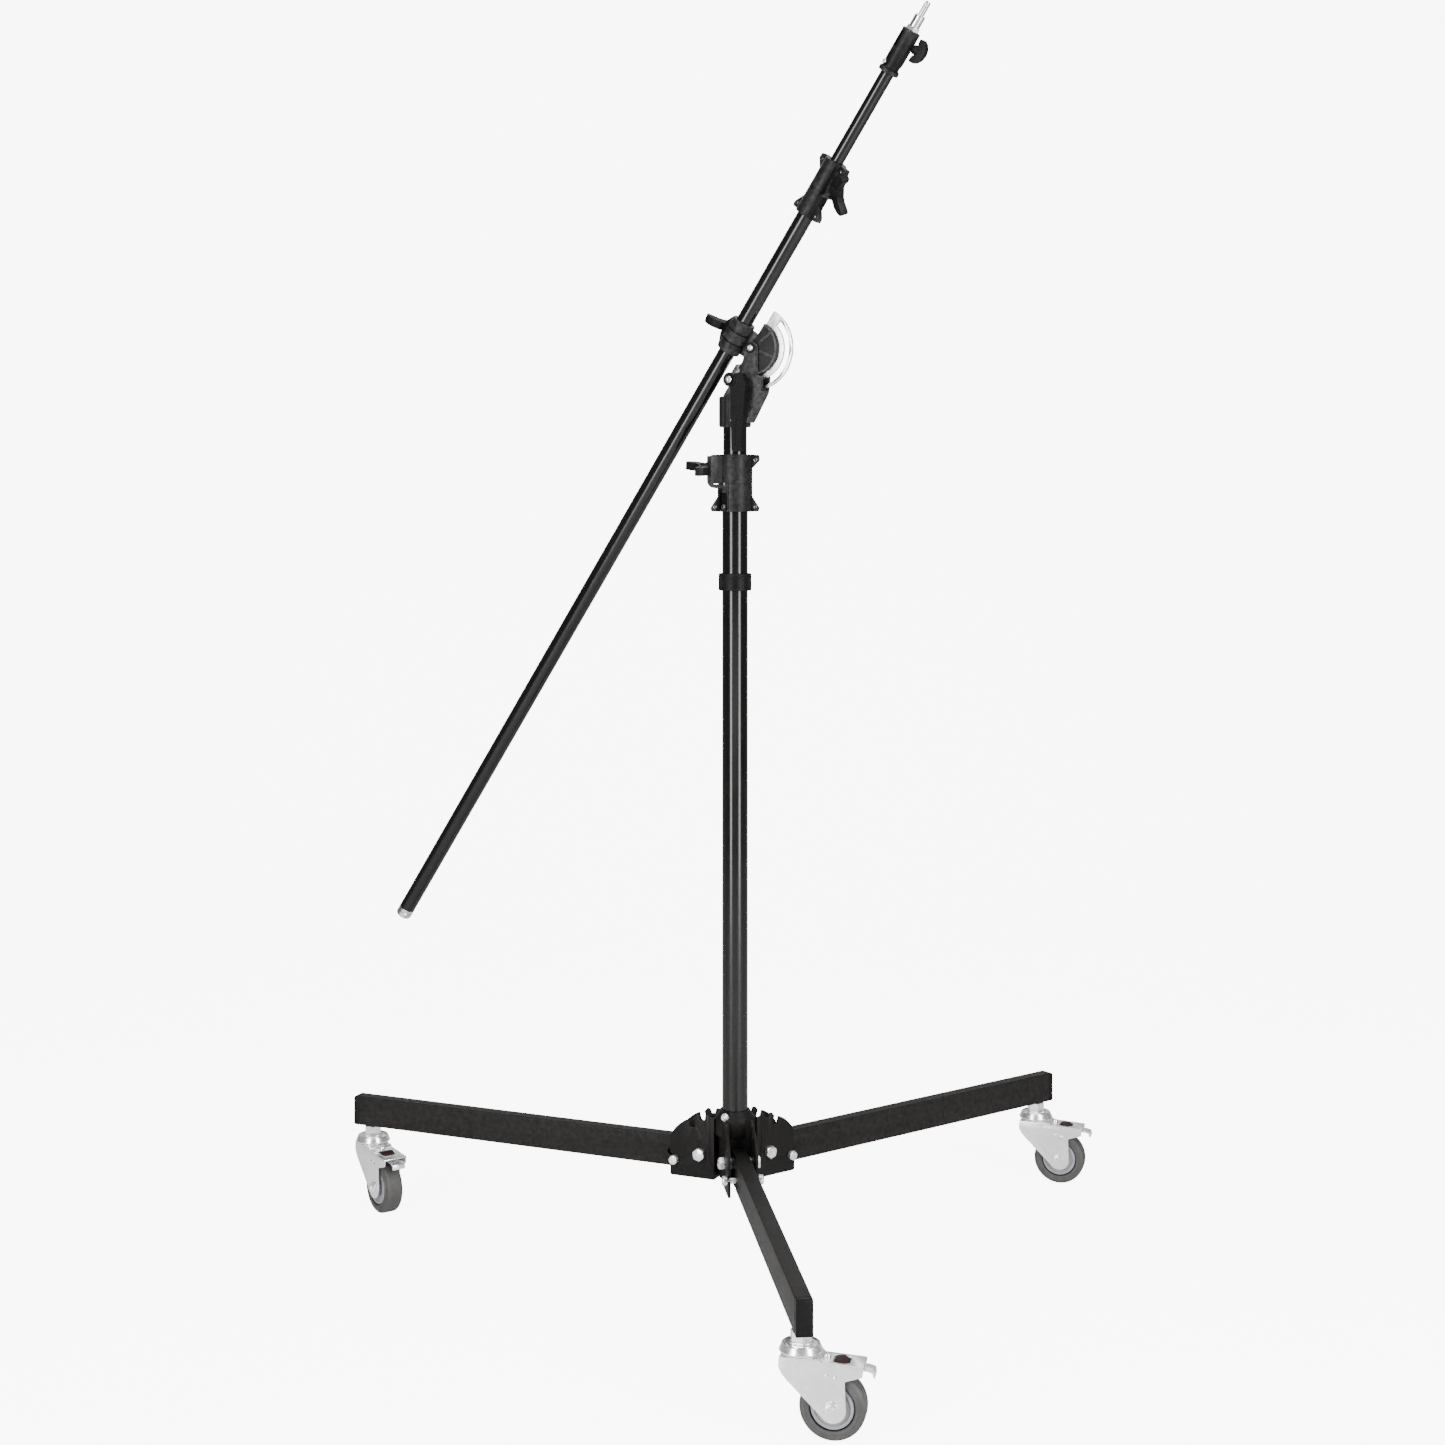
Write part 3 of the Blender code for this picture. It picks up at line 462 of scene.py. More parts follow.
# Bright zinc plating with soft mottling and fine rub marks.
ZINC = surface("zinc", (55.0, 5.0, 0.6),
               [(0.3, (0.86, 0.87, 0.88)), (0.55, (0.92, 0.925, 0.93)), (0.8, (0.96, 0.965, 0.97))],
               ((110.0, 5.0, 0.65), 0.16, 0.32), ((240.0, 4.0, 0.6, (1.0, 1.0, 0.12)), 0.02, 0.0002),
               Metallic=0.86)
# Polished chrome.
CHROME = surface("chrome", (40.0, 3.0), [(0.3, (0.78, 0.785, 0.79)), (0.75, (0.88, 0.885, 0.89))],
                 ((90.0, 4.0), 0.10, 0.24), ((700.0, 2.0), 0.04, 0.0002), Metallic=1.0)
# Machined and clear-coated aluminium of the tilt quadrant.
ALLOY = surface("quadrant_alloy", (60.0, 4.0), [(0.3, (0.80, 0.81, 0.82)), (0.75, (0.93, 0.93, 0.935))],
                ((130.0, 4.0), 0.24, 0.36), ((500.0, 3.0), 0.08, 0.0003), Metallic=1.0)
# Mid-grey rubber with scuffs and dust.
TYRE = surface("tyre", (45.0, 5.0, 0.6),
               [(0.25, (0.036, 0.0354, 0.0344)), (0.55, (0.050, 0.049, 0.0475)),
                (0.85, (0.066, 0.0645, 0.062))],
               ((120.0, 4.0), 0.52, 0.72), ((160.0, 4.0), 0.12, 0.0006),
               fine=((950.0, 3.0), 0.25, 0.0004))
# Pale blue-grey moulded wheel centre.
CORE = surface("wheel_core", (30.0, 3.0), [(0.3, (0.22, 0.22, 0.245)), (0.75, (0.28, 0.28, 0.31))],
               ((80.0,), 0.36, 0.50), ((1000.0, 2.0), 0.18, 0.0003))
MAROON = moulded_plastic("brake_block", (0.014, 0.006, 0.006))
# Near-black for the thin ring that paints the shade in the gap between wheel core and tyre.
SHADOW = moulded_plastic("seam_shadow", (0.004, 0.004, 0.004))
# Blackened steel of the clamp screws, rubbed bright on its edges.
SCREW_BLACK = surface("black_screw", (60.0, 4.0),
                      [(0.3, (0.020, 0.020, 0.021)), (0.7, (0.045, 0.045, 0.046))],
                      ((120.0,), 0.20, 0.34), ((700.0, 2.0), 0.1, 0.0003), ((0.5, 0.5, 0.5), 1.0),
                      Metallic=0.7)


# ---------------------------------------------------------------- shared shapes

def as_bmesh(obj):
    """Takes an object's mesh back as a solid and removes the object."""
    bm = bmesh.new()
    bm.from_mesh(obj.data)
    bpy.data.objects.remove(obj, do_unlink=True)
    return bm


def joined(*solids):
    """One mesh of several solids."""
    mesh = bpy.data.meshes.new("joined")
    whole = bmesh.new()
    for bm in solids:
        bm.to_mesh(mesh)
        bm.free()
        whole.from_mesh(mesh)
        mesh.clear_geometry()
    bpy.data.meshes.remove(mesh)
    return whole


def hexagon(across, low, high):
    """Hexagonal bar along Z with turned chamfers at both ends."""
    obj = as_object(prism(regular(6, across / 3 ** 0.5), low, high, "XY"))
    rise = across * 0.045
    wide = across * 0.585
    barrel = lathe([(0, low), (across * 0.5, low), (wide, low + rise), (wide, high - rise),
                    (across * 0.5, high), (0, high)], 48)
    return as_bmesh(combine(obj, [barrel], "INTERSECT"))


def disc(radius, low, high, edge=0.5, steps=40):
    """Short round bar along Z with rounded ends."""
    profile = [(0, low)] + fillet([(0.01, low), (radius, low), (radius, high), (0.01, high)], edge, 3,
                                  False)[1:-1]
    return lathe(profile + [(0, high)], steps)


def threaded(radius, low, high, pitch=1.25):
    """Round bar along Z with thread crests, chamfered at its upper end."""
    profile = [(0, low)]
    count = max(1, int((high - low - 1.0) / pitch))
    for i in range(count):
        z = low + i * pitch
        profile += [(radius - 0.55, z), (radius, z + pitch * 0.5)]
    return lathe(profile + [(radius - 0.3, high - 0.6), (radius - 0.9, high), (0, high)], 32)


def fluted(profile, ribs, steps_per_rib=6):
    """Solid turned about Z with ribs: points are (radius, height, depth of the flutes)."""
    bm = bmesh.new()
    total = ribs * steps_per_rib
    rings = []
    for r, z, depth in profile:
        ring = []
        for i in range(total):
            share = max(0.0, min(1.0, 0.5 - 1.4 * cos(2 * pi * i / steps_per_rib)))
            angle = 2 * pi * i / total
            radius = r - depth * share
            ring.append(bm.verts.new((radius * cos(angle), radius * sin(angle), z)))
        rings.append(ring)
    for lower, upper in zip(rings, rings[1:] + rings[:1]):
        for i in range(total):
            j = (i + 1) % total
            bm.faces.new((lower[i], lower[j], upper[j], upper[i]))
    bmesh.ops.recalc_face_normals(bm, faces=bm.faces)
    return bm


def cross_screw(radius, height):
    """Pan head screw along Z from 0 with a cross recess."""
    head = as_object(lathe([(0, -1.0), (radius * 0.5, -1.0), (radius, 0), (radius, height * 0.35),
                            (radius * 0.86, height * 0.78), (radius * 0.5, height), (0, height)], 36))
    bar, depth = radius * 0.16, height * 0.45
    arms = [block((-radius * 0.55, -bar, height - depth), (radius * 0.55, bar, height + 1)),
            block((-bar, -radius * 0.55, height - depth), (bar, radius * 0.55, height + 1))]
    return as_bmesh(combine(head, arms, "DIFFERENCE"))


# ---------------------------------------------------------------- base

BRACKET_HALF, BRACKET_SHEET = 22.0, 3.5
PIVOT_X, PIVOT_Z = 47.0, 155.0
LOCK_X, LOCK_Z, LOCK_DIR, LOCK_TRAVEL = 88.5, 142.5, 30.0, 14.0
LEG_HALF, LEG_LOW, LEG_TOP, LEG_WALL = 11.0, 127.8, 174.0, 2.0
LEG_TUBE_END, LEG_END = 645.0, 655.0
STEM_X, STEM_TOP = 626.0, 158.0
AXLE_X, AXLE_Z, WHEEL_R = 40.0, 41.0, 41.0
FORK_HALF, FORK_SHEET = 19.5, 2.5


def build_hub():
    profile = [(19.3, 140.2), (19.3, 221.0), (20.0, 221.5), (22.2, 221.2), (23.4, 219.0), (25.6, 215.6),
               (29.0, 211.0), (30.0, 208.4), (30.0, 186.0), (29.0, 184.4), (24.6, 184.0), (24.0, 182.5),
               (24.0, 122.0), (23.0, 121.0), (6.4, 121.0), (6.4, 140.2)]
    body = as_object(lathe(profile, 96, ring=True))
    heading, height = radians(-122), 215.0
    outward = (cos(heading), sin(heading), 0)
    seat = along_axis(disc(6.6, 21.0, 26.6, 0.6, 32), (0, 0, height), outward)
    combine(body, [seat], "UNION")
    piece("hub", body, STAND, "base", POWDER, ["hub_body"])
    screw = joined(hexagon(9.2, 28.0, 31.6), disc(5.8, 26.7, 28.1, 0.3, 32),
                   threaded(3.6, 31.3, 34.6, 1.0))
    along_axis(screw, (0, 0, height), outward)
    piece("hub_screw", screw, STAND, "base", ZINC, ["hub_set_screw"])


def bracket_side():
    """Side view of a notched bracket plate with softened corners."""
    top = [(24.5, 53.5), (31.0, 54.5), (33.0, 57.5), (38.5, 57.5), (40.0, 50.0), (46.5, 49.5),
           (49.0, 56.0),
           (53.5, 56.5), (56.5, 52.5)]
    rim = arc(PIVOT_X, 0, 53.0, 76, 27, 24)
    low = [(95.7, 22.5), (95.7, -34.5), (94.0, -36.5), (24.5, -36.5)]
    rounding = [0.0, 0.8, 0.8, 1.0, 1.2, 1.6, 1.2, 1.6, 1.5] + [0.0] * len(rim) + [1.5, 1.5, 1.5, 0.0]
    return [(x, z + PIVOT_Z) for x, z in fillet(top + rim + low, rounding, 4)]


def build_bracket(name):
    inner, wide = BRACKET_HALF - BRACKET_SHEET, BRACKET_HALF + 6
    body = as_object(prism(bracket_side(), -BRACKET_HALF, BRACKET_HALF))
    reach, clear = 30.0, 4.5
    seat = capsule(LOCK_X, LOCK_Z, LOCK_X + reach * cos(radians(LOCK_DIR)),
                   LOCK_Z + reach * sin(radians(LOCK_DIR)), clear, 12)
    arm = hypot(LOCK_X - PIVOT_X, LOCK_Z - PIVOT_Z)
    turn = radians(73.5)
    nx, nz = PIVOT_X + arm * cos(turn), PIVOT_Z + arm * sin(turn)
    notch = capsule(nx, nz, nx + reach * cos(turn), nz + reach * sin(turn), clear, 12)
    hole = cross_hole(5.3, wide, PIVOT_X, PIVOT_Z, 36)
    combine(body, [block((27.5, -inner, 50), (200, inner, 300)), prism(seat, -wide, wide),
                   prism(notch, -wide, wide), hole], "DIFFERENCE")
    seam = [(31.9, 216), (31.9, 157), (21.0, 118), (22.3, 118), (33.2, 156.6), (33.2, 216)]
    grooves = [prism(seam, side * BRACKET_HALF - 0.9, side * BRACKET_HALF + 0.9) for side in (-1, 1)]
    combine(body, grooves, "DIFFERENCE")
    bevelled(body, 0.55, 2)
    piece("bracket_" + name, body, LEG_FRAMES[name], "base", POWDER,
          ["leg_bracket_" + name])


def build_pivot(name):
    """Hex head bolt with washers, spacers and a lock nut, head on the +Y side."""
    face, leg_face, plate = BRACKET_HALF, LEG_HALF + 0.3, BRACKET_HALF - BRACKET_SHEET - 0.2
    solids = [disc(5.0, -face - 7.0, face + 1.0, 0.2), hexagon(16.6, face + 0.2, face + 8.6),
              hexagon(16.6, -face - 7.6, -face - 0.2), disc(7.2, -face - 9.4, -face - 7.4, 0.8),
              disc(8.5, leg_face, plate, 0.4), disc(8.5, -plate, -leg_face, 0.4)]
    end = along_axis(threaded(5.0, face + 5.0, face + 10.0, 1.25), (0, 0, 0), (0, 0, -1))
    bolt = along_axis(joined(*solids, end), (PIVOT_X, 0, PIVOT_Z), (0, 1, 0), (1, 0, 0.35))
    piece("pivot_" + name, bolt, LEG_FRAMES[name], "base", ZINC, ["pivot_bolt_" + name])


def build_lock(name):
    face = BRACKET_HALF + 0.3
    end = face + 8.2
    dome = fillet([(0.01, end), (6.1, end), (7.0, end - 2.0), (7.0, face), (4.2, face)], 1.6, 4, False)
    half = [(0, end)] + dome
    pin = along_axis(lathe(half + mirrored_up(half), 48), (LOCK_X, 0, LOCK_Z), (0, 1, 0))
    piece("lock_pin_shown_" + name, pin, LEG_FRAMES[name], "lock_" + name, ZINC,
          ["lock_pin_" + name])


def lock_slot_outline():
    """Slot in the leg for the pin's travel, opening towards the lower edge for folding."""
    x, z = LOCK_X - PIVOT_X, LOCK_Z - PIVOT_Z
    arm, clear = hypot(x, z), 4.6
    out_x, out_z = x + LOCK_TRAVEL * cos(radians(LOCK_DIR)), z + LOCK_TRAVEL * sin(radians(LOCK_DIR))
    seat = degrees(atan2(z, x))
    points = (arc(out_x, out_z, clear, LOCK_DIR + 90, LOCK_DIR - 90, 14)
              + arc(0, 0, arm + clear, seat - 4, -48, 12) + [(12, -40)]
              + arc(0, 0, arm - clear, -70, seat, 12) + arc(x, z, clear, 165, LOCK_DIR + 90, 6))
    return [(px + PIVOT_X, pz + PIVOT_Z) for px, pz in points]


def leg_section(inset, radius):
    y, low, top = LEG_HALF - inset, LEG_LOW + inset, LEG_TOP - inset
    return fillet([(-y, low), (y, low), (y, top), (-y, top)], radius, 7)


def build_leg(name):
    body = as_object(prism(leg_section(0, 2.6), 26.0, LEG_TUBE_END, "YZ"))
    end_side = ([(700, LEG_LOW - 1), (700, LEG_TOP + 1), (PIVOT_X, LEG_TOP)]
                + arc(PIVOT_X, PIVOT_Z, LEG_TOP - PIVOT_Z, 90, 180, 16)
                + [(PIVOT_X - 19, LEG_LOW + 4), (PIVOT_X - 15, LEG_LOW - 1)])
    combine(body, [prism(end_side, -30, 30)], "INTERSECT")
    hole = cross_hole(5.3, 20, PIVOT_X, PIVOT_Z)
    stem = moved(rod(6.3, 120, STEM_TOP), Matrix.Translation((STEM_X, 0, 0)))
    combine(body, [prism(leg_section(LEG_WALL, 1.0), -5, LEG_TUBE_END + 5, "YZ"), hole, stem,
                   prism(lock_slot_outline(), -20, 20)], "DIFFERENCE")
    piece("leg_" + name, body, LEG_FRAMES[name], "leg_" + name, POWDER,
          ["leg_tube_" + name])
    start, low, top = LEG_TUBE_END + 0.3, LEG_LOW + 0.15, LEG_TOP - 0.15
    side = fillet([(start, low), (LEG_END, low), (LEG_END, top), (start, top)], [0, 3.0, 8.0, 0], 8)
    shell = bevelled(as_object(prism(side, -LEG_HALF + 0.15, LEG_HALF - 0.15)), 1.4, 3)
    plug = prism(leg_section(LEG_WALL + 0.3, 0.8), LEG_TUBE_END - 7, LEG_TUBE_END + 2, "YZ")
    cap = joined(as_bmesh(shell), plug)
    piece("leg_end_" + name, cap, LEG_FRAMES[name], "leg_" + name, PLASTIC,
          ["leg_cap_" + name])


def build_stem(name):
    """Threaded stem, lock nut and raceway dish of a caster."""
    dish = fillet([(0.01, 110.8), (20.4, 111.0), (21.6, 112.6), (22.8, 113.2), (23.6, 112.4),
                   (25.6, 107.6),
                   (26.8, 105.4), (26.8, 103.8), (25.6, 103.0), (20.0, 102.6), (20.0, 100.6),
                   (0.01, 100.6)],
                  0.6, 3, False)
    solids = [lathe([(0, 110.8)] + dish[1:-1] + [(0, 100.6)], 96), hexagon(24.0, 110.6, 127.6),
              lathe([(14.6, 110.9), (18.4, 110.9), (17.8, 112.4), (15.2, 112.4)], 64, ring=True),
              threaded(6.0, 126.5, STEM_TOP, 1.5), disc(5.0, 92, 102, 0.3),
              hexagon(14.0, 92.8, 97.2), disc(8.2, 96.6, 98.2, 0.3),
              lathe([(19.0, 100.3), (24.0, 100.3), (24.0, 101.6), (19.0, 101.6)], 64, ring=True)]
    piece("stem_" + name, joined(*solids), STEM_FRAMES[name], "leg_" + name, ZINC,
          ["caster_stem_" + name])


def fork_side():
    """Side view of the caster fork with its brake housing."""
    front = [(-24.5, 100.0), (-25.0, 88.0), (-21.0, 80.0), (-15.0, 73.0)]
    lower = arc(AXLE_X + 1.0, AXLE_Z, 16.5, 214, 375, 30)
    rear = [(56.0, 75.5), (77.0, 82.0), (79.0, 93.5), (28.0, 96.5), (24.5, 100.0)]
    rounding = [2.5, 3.0, 4.0, 4.0] + [0.0] * len(lower) + [2.0, 1.5, 1.5, 3.0, 2.0]
    return fillet(front + lower + rear, rounding, 4)


def build_fork(name):
    inner = FORK_HALF - FORK_SHEET
    body = as_object(prism(fork_side(), -FORK_HALF, FORK_HALF))
    window = [(40.5, -11.0), (61.0, -9.0), (61.0, 9.0), (40.5, 11.0)]
    cuts = [block((-60, -inner, -5), (26, inner, 97)), block((25.5, -inner, -5), (120, inner, 91.2)),
            prism(fillet(window, 2.0, 4), 80, 120, "XY"), rod(5.3, 80, 120),
            cross_hole(5.3, 30, AXLE_X, AXLE_Z)]
    combine(body, cuts, "DIFFERENCE")
    bevelled(body, 0.9, 3)
    extras = []
    for side in (-1, 1):
        for x, z in ((34.0, 80.5), (44.5, 78.5)):
            rivet = lathe([(0, -0.4), (3.0, -0.4), (2.9, 0.3), (2.0, 0.9), (0, 1.1)], 28)
            extras.append(along_axis(rivet, (x, side * FORK_HALF, z), (0, side, 0)))
    bump = lathe([(0, 94.0), (4.6, 94.0), (4.6, 98.6), (3.8, 100.8), (1.8, 102.0), (0, 102.2)], 36)
    extras.append(moved(bump, Matrix.Translation((32.5, 0, 0))))
    strip = fillet([(30.0, 94.0), (77.5, 91.6), (77.5, 90.6), (30.0, 93.0)], 0.4, 2)
    ribs = [prism(strip, side * FORK_HALF - 0.5, side * FORK_HALF + 0.35) for side in (-1, 1)]
    whole = joined(as_bmesh(body), *extras, *ribs)
    piece("fork_shown_" + name, whole, FORK_FRAMES[name], "fork_" + name, ZINC,
          ["caster_fork_" + name])


def build_axle(name):
    face = FORK_HALF
    solids = [disc(5.0, -face - 5, face + 1, 0.2), hexagon(13.4, face + 1.2, face + 5.6),
              disc(8.4, face + 0.1, face + 1.3, 0.3), disc(8.4, -face - 1.3, -face - 0.1, 0.3),
              hexagon(13.4, -face - 4.8, -face - 1.2),
              along_axis(threaded(4.2, face + 3.0, face + 6.4, 1.0), (0, 0, 0), (0, 0, -1))]
    axle = along_axis(joined(*solids), (AXLE_X, 0, AXLE_Z), (0, 1, 0), (1, 0, 0.5))
    piece("axle_" + name, axle, FORK_FRAMES[name], "fork_" + name, ZINC, ["axle_bolt_" + name])


def build_wheel(name):
    inner, half = 28.3, 14.5
    side = [(inner, half - 0.4), (32.4, half), (33.2, half - 0.9), (34.0, half - 0.9)]
    tread = [(34.0 + 7.0 * sin(radians(a)), half - 0.7 - 5.6 * (1 - cos(radians(a)))) for a in (20, 38,
                                                                                                56, 74)]
    tread += [(WHEEL_R - 0.12, half - 6.2), (WHEEL_R, half - 9.5)]
    outer = side + tread
    face = 13.0
    core = [(26.6, face - 1.2), (25.8, face - 0.2), (22.6, face), (21.4, face - 1.6), (13.4, face - 1.6),
            (12.0, face), (10.4, 16.0), (9.8, 16.2), (5.4, 16.2)]
    # seam is a thin near-black ring between core and tyre: painted shade of the gap, not a real part.
    seam = [(26.7, face - 0.9), (28.2, face - 0.9)]
    rings = (("tyre_shown_", outer, 128, TYRE, "tyre", ["tyre_" + name]),
             ("wheel_core_shown_", core, 96, CORE, "wheel_core", ["wheel_core_" + name]),
             ("wheel_seam_shade_", seam, 96, SHADOW, "plastic", ()))
    for label, half_profile, steps, material, slot, replaced in rings:
        solid = lathe(half_profile + mirrored_up(half_profile), steps, ring=True)
        along_axis(solid, (AXLE_X, 0, AXLE_Z), (0, 1, 0))
        piece(label + name, solid, FORK_FRAMES[name], "wheel_" + name, material, replaced)


def build_pedal(name):
    """Brake pedal and the moulded brake block that shows in the housing's window."""
    outline = [(42.0, 87.4), (42.0, 89.4), (56.4, 89.6), (82.5, 88.9), (90.6, 86.6), (91.4, 78.8),
               (89.4, 78.7),
               (88.2, 84.4), (81.5, 86.6), (56.0, 86.7)]
    rounding = [0.5, 0.5, 1.5, 3.0, 2.5, 0.9, 0.9, 2.0, 3.0, 1.0]
    obj = as_object(prism(fillet(outline, rounding, 5), -10.5, 10.5))
    bevelled(obj, 0.9, 3)
    piece("pedal_shown_" + name, obj, FORK_FRAMES[name], "pedal_" + name, ZINC,
          ["brake_pedal_" + name])
    shape = fillet([(42.2, 84.0), (42.2, 97.0), (52.0, 98.4), (59.0, 94.6), (59.6, 84.0)],
                   [1, 2, 3, 3, 1], 5)
    brake_block = bevelled(as_object(prism(shape, -8.8, 8.8)), 1.0, 3)
    piece("brake_block_" + name, brake_block, FORK_FRAMES[name], "pedal_" + name, MAROON)


def build_base():
    build_hub()
    for name in LEGS:
        build_bracket(name)
        build_pivot(name)
        build_lock(name)
        build_leg(name)
        build_stem(name)
        build_fork(name)
        build_axle(name)
        build_wheel(name)
        build_pedal(name)


# ---------------------------------------------------------------- column

COLUMN_R, RISER_R = 19.0, 17.5
CLAMP_LOW, CLAMP_LONG = 1109.0, 85.0
WING_HALF, WING_THICK = 32.0, 6.0


def tube_solid(outer, inner, low, high, steps=96):
    profile = [(inner, low), (inner + 0.3, low), (outer - 0.4, low), (outer, low + 0.5),
               (outer, high - 0.5), (outer - 0.4, high),
               (inner, high)]
    return lathe(profile, steps, ring=True)


def build_column():
    piece("column", tube_solid(COLUMN_R, 17.8, 140.3, 1150.0), STAND, "base", GLOSS,
          ["column_tube"])
    low, high, r, cut = 992.0, 1017.5, 24.5, 0.9
    rim = [(19.3, low, 0), (r - 0.9, low, 0), (r, low + 1.0, 0), (r, low + 3.0, 0), (r, low + 3.6, cut),
           (r, high - 3.6, cut), (r, high - 3.0, 0), (r, high - 1.0, 0), (r - 0.9, high, 0),
           (19.3, high, 0)]
    piece("ribbed_ring", fluted(rim, 44), STAND, "base", PLASTIC, ["column_ring"], 40)
    piece("riser", tube_solid(RISER_R, 16.0, 330.0, 1275.5), STAND, "riser", GLOSS,
          ["riser_tube"])


def ear_outline(outer, half, long):
    """Waisted plate with four rounded ears, x across and z up."""
    side = [(outer - 4, 0), (half - 1, 0.4), (half, 6), (outer - 1.5, long * 0.29),
            (outer - 1.5, long * 0.74),
            (half + 0.5, long - 9), (half - 0.5, long - 0.6), (outer - 4, long)]
    rounding = [0, 2.5, 4, 5, 5, 3.5, 2.5, 0]
    return fillet(side + mirrored_across(side), rounding + rounding[::-1], 5)


def clamp_screw(origin, direction, radius, seat=2.0):
    screw = joined(cross_screw(radius, radius * 0.62), disc(radius * 1.25, -seat, 0.15, 0.3, 32))
    return along_axis(screw, origin, direction)


def build_clamp(name, matrix, body, replaced, outer, bores, step, half, lug, long):
    """Two-piece tube clamp: barrel, four ears, a knob lug and its screws."""
    low_bore, high_bore = bores
    obj = as_object(lathe([(0, 0)] + fillet([(1, 0), (outer, 0), (outer, long), (1, long)], 0.8, 3,
                                            False)[1:-1]
                          + [(0, long)], 96))
    thick = outer * 0.34
    heading, lug_out, lug_half, lug_low, lug_high = lug
    side_view = fillet([(0, lug_low), (lug_out, lug_low + 4), (lug_out, lug_high - 1), (0, lug_high)],
                       [0, lug_half, 2.0, 0], 6)
    lug_block = prism(side_view, -lug_half, lug_half)
    moved(lug_block, Matrix.Rotation(heading, 4, "Z"))
    combine(obj, [prism(ear_outline(outer, half, long), -thick, thick), lug_block], "UNION")
    seam = lathe([(outer - 0.7, step - 0.5), (outer + 12, step - 0.5), (outer + 12, step + 0.5),
                  (outer - 0.7, step + 0.5)], 96, ring=True)
    pocket_turn = Matrix.Rotation(heading + radians(30), 4, "Z")
    wall = low_bore + 1.2
    pocket = moved(block((wall, -outer * 0.30, 3.5), (outer + 20, outer * 0.30, long * 0.33)),
                   pocket_turn)
    slit = moved(block((low_bore - 1, -0.6, -1), (outer + 20, 0.6, step)),
                 Matrix.Rotation(heading + radians(52), 4, "Z"))
    bore = lathe([(0, -1), (low_bore, -1), (low_bore, step), (high_bore, step + 0.01),
                  (high_bore, long + 1),
                  (0, long + 1)], 96)
    combine(obj, [seam, pocket, slit, bore], "DIFFERENCE")
    bevelled(obj, 0.45, 2, 40)
    piece(name, obj, matrix, body, CASTING, replaced)
    turn = heading + radians(34)
    screws = [clamp_screw((cos(turn) * outer, sin(turn) * outer, z), (cos(turn), sin(turn), 0), 3.4)
              for z in (long * 0.085, long * 0.48)]
    for side in (-1, 1):
        for z in (7.0, long - 8.0):
            screws.append(clamp_screw((side * (half - 6.5), -thick, z), (0, -1, 0), 2.6, 1.0))
    return screws


def wing_knob(name, matrix, body, replaced, spin):
    """Moulded butterfly knob: its screw is along Z and its lobes lie at spin from X."""
    boss = lathe([(0, 0), (8.9, 0), (9.5, 0.7), (9.6, 3.0), (8.6, 5.0), (8.3, 11.0), (7.6, 13.5),
                  (0, 15.0)], 64)
    right = [(8.0, 1.0), (16.0, 1.5), (WING_HALF - 5.0, 8.5), (WING_HALF - 0.8, 16.5), (WING_HALF, 22.5),
             (WING_HALF - 1.2, 27.0), (WING_HALF - 4.5, 28.5), (WING_HALF - 9.5, 26.0), (14.0, 18.5),
             (7.0, 16.0)]
    outline = fillet(right + mirrored_across(right), 2.4, 4)
    wing = as_object(prism(outline, -WING_THICK, WING_THICK))
    combine(wing, [boss], "UNION")
    bevelled(wing, 2.2, 4, 50)
    turn = Matrix.Rotation(spin, 4, "Z")
    cap = lathe([(0, 14.0), (4.4, 14.0), (4.2, 16.9), (3.4, 17.4), (0, 17.5)], 48)
    whole = joined(as_bmesh(wing), cap)
    whole.normal_update()
    piece(name, moved(whole, turn), matrix, body, PLASTIC, replaced, 36)


def radial_frame(base, heading, reach, height):
    """Frame on the side of a tube along Z of base: local Z points outwards and local Y runs up the tube."""
    out = (cos(heading), sin(heading), 0)
    origin = (reach * out[0], reach * out[1], height)
    return turned_frame(base, origin, out, (-sin(heading), cos(heading), 0))


def build_riser_clamp():
    heading, reach = radians(-165), 40.0
    base = STAND @ Matrix.Translation((0, 0, CLAMP_LOW))
    lug = (heading, reach, 12.5, 32.0, 84.0)
    screws = build_clamp("riser_clamp", base, "base", ["riser_clamp_body"], 26.0, (19.3, 17.9), 41.3,
                         36.5, lug,
                         CLAMP_LONG)
    piece("riser_clamp_screws", joined(*screws), base, "base", SCREW_BLACK)
    seat = radial_frame(base, heading, reach + 0.3, 64.0)
    wing_knob("riser_wing_knob", seat, "riser_knob", ["riser_knob"], radians(-10))
    collar = lathe([(9.9, -0.3), (12.2, -0.3), (12.2, 0.9), (11.6, 1.6), (10.4, 1.6), (9.9, 0.9)], 64,
                   ring=True)
    piece("riser_knob_collar", collar, seat, "base", CASTING)


# ---------------------------------------------------------------- head

YOKE_NEAR, YOKE_FAR, SLOT_NEAR, SLOT_FAR = -15.0, 12.0, -7.8, 5.0
LEVER_X, LEVER_DZ = 13.0, -46.7
QUADRANT_R, DISC_R, FLAT = 62.0, 40.0, 5.7
KNOB_LEAN = radians(30)


def yoke_side():
    px = TILT_X
    points = ([(24.6, -112.0), (30.0, -104.0), (52.0, -66.0), (54.5, -44.0), (48.0, -12.0)]
              + arc(px, 0, 8.4, 10, 170, 16) + [(20.0, -28.0)] + arc(LEVER_X, LEVER_DZ, 10.5, 75, 190, 12)
              + [(-8.0, -64.0), (-12.0, -70.3), (24.6, -70.3)])
    rounding = [1.5, 6.0, 10.0, 8.0, 10.0] + [0] * 16 + [3.0] + [0] * 12 + [4.0, 1.0, 0.0]
    return fillet(points, rounding, 5)


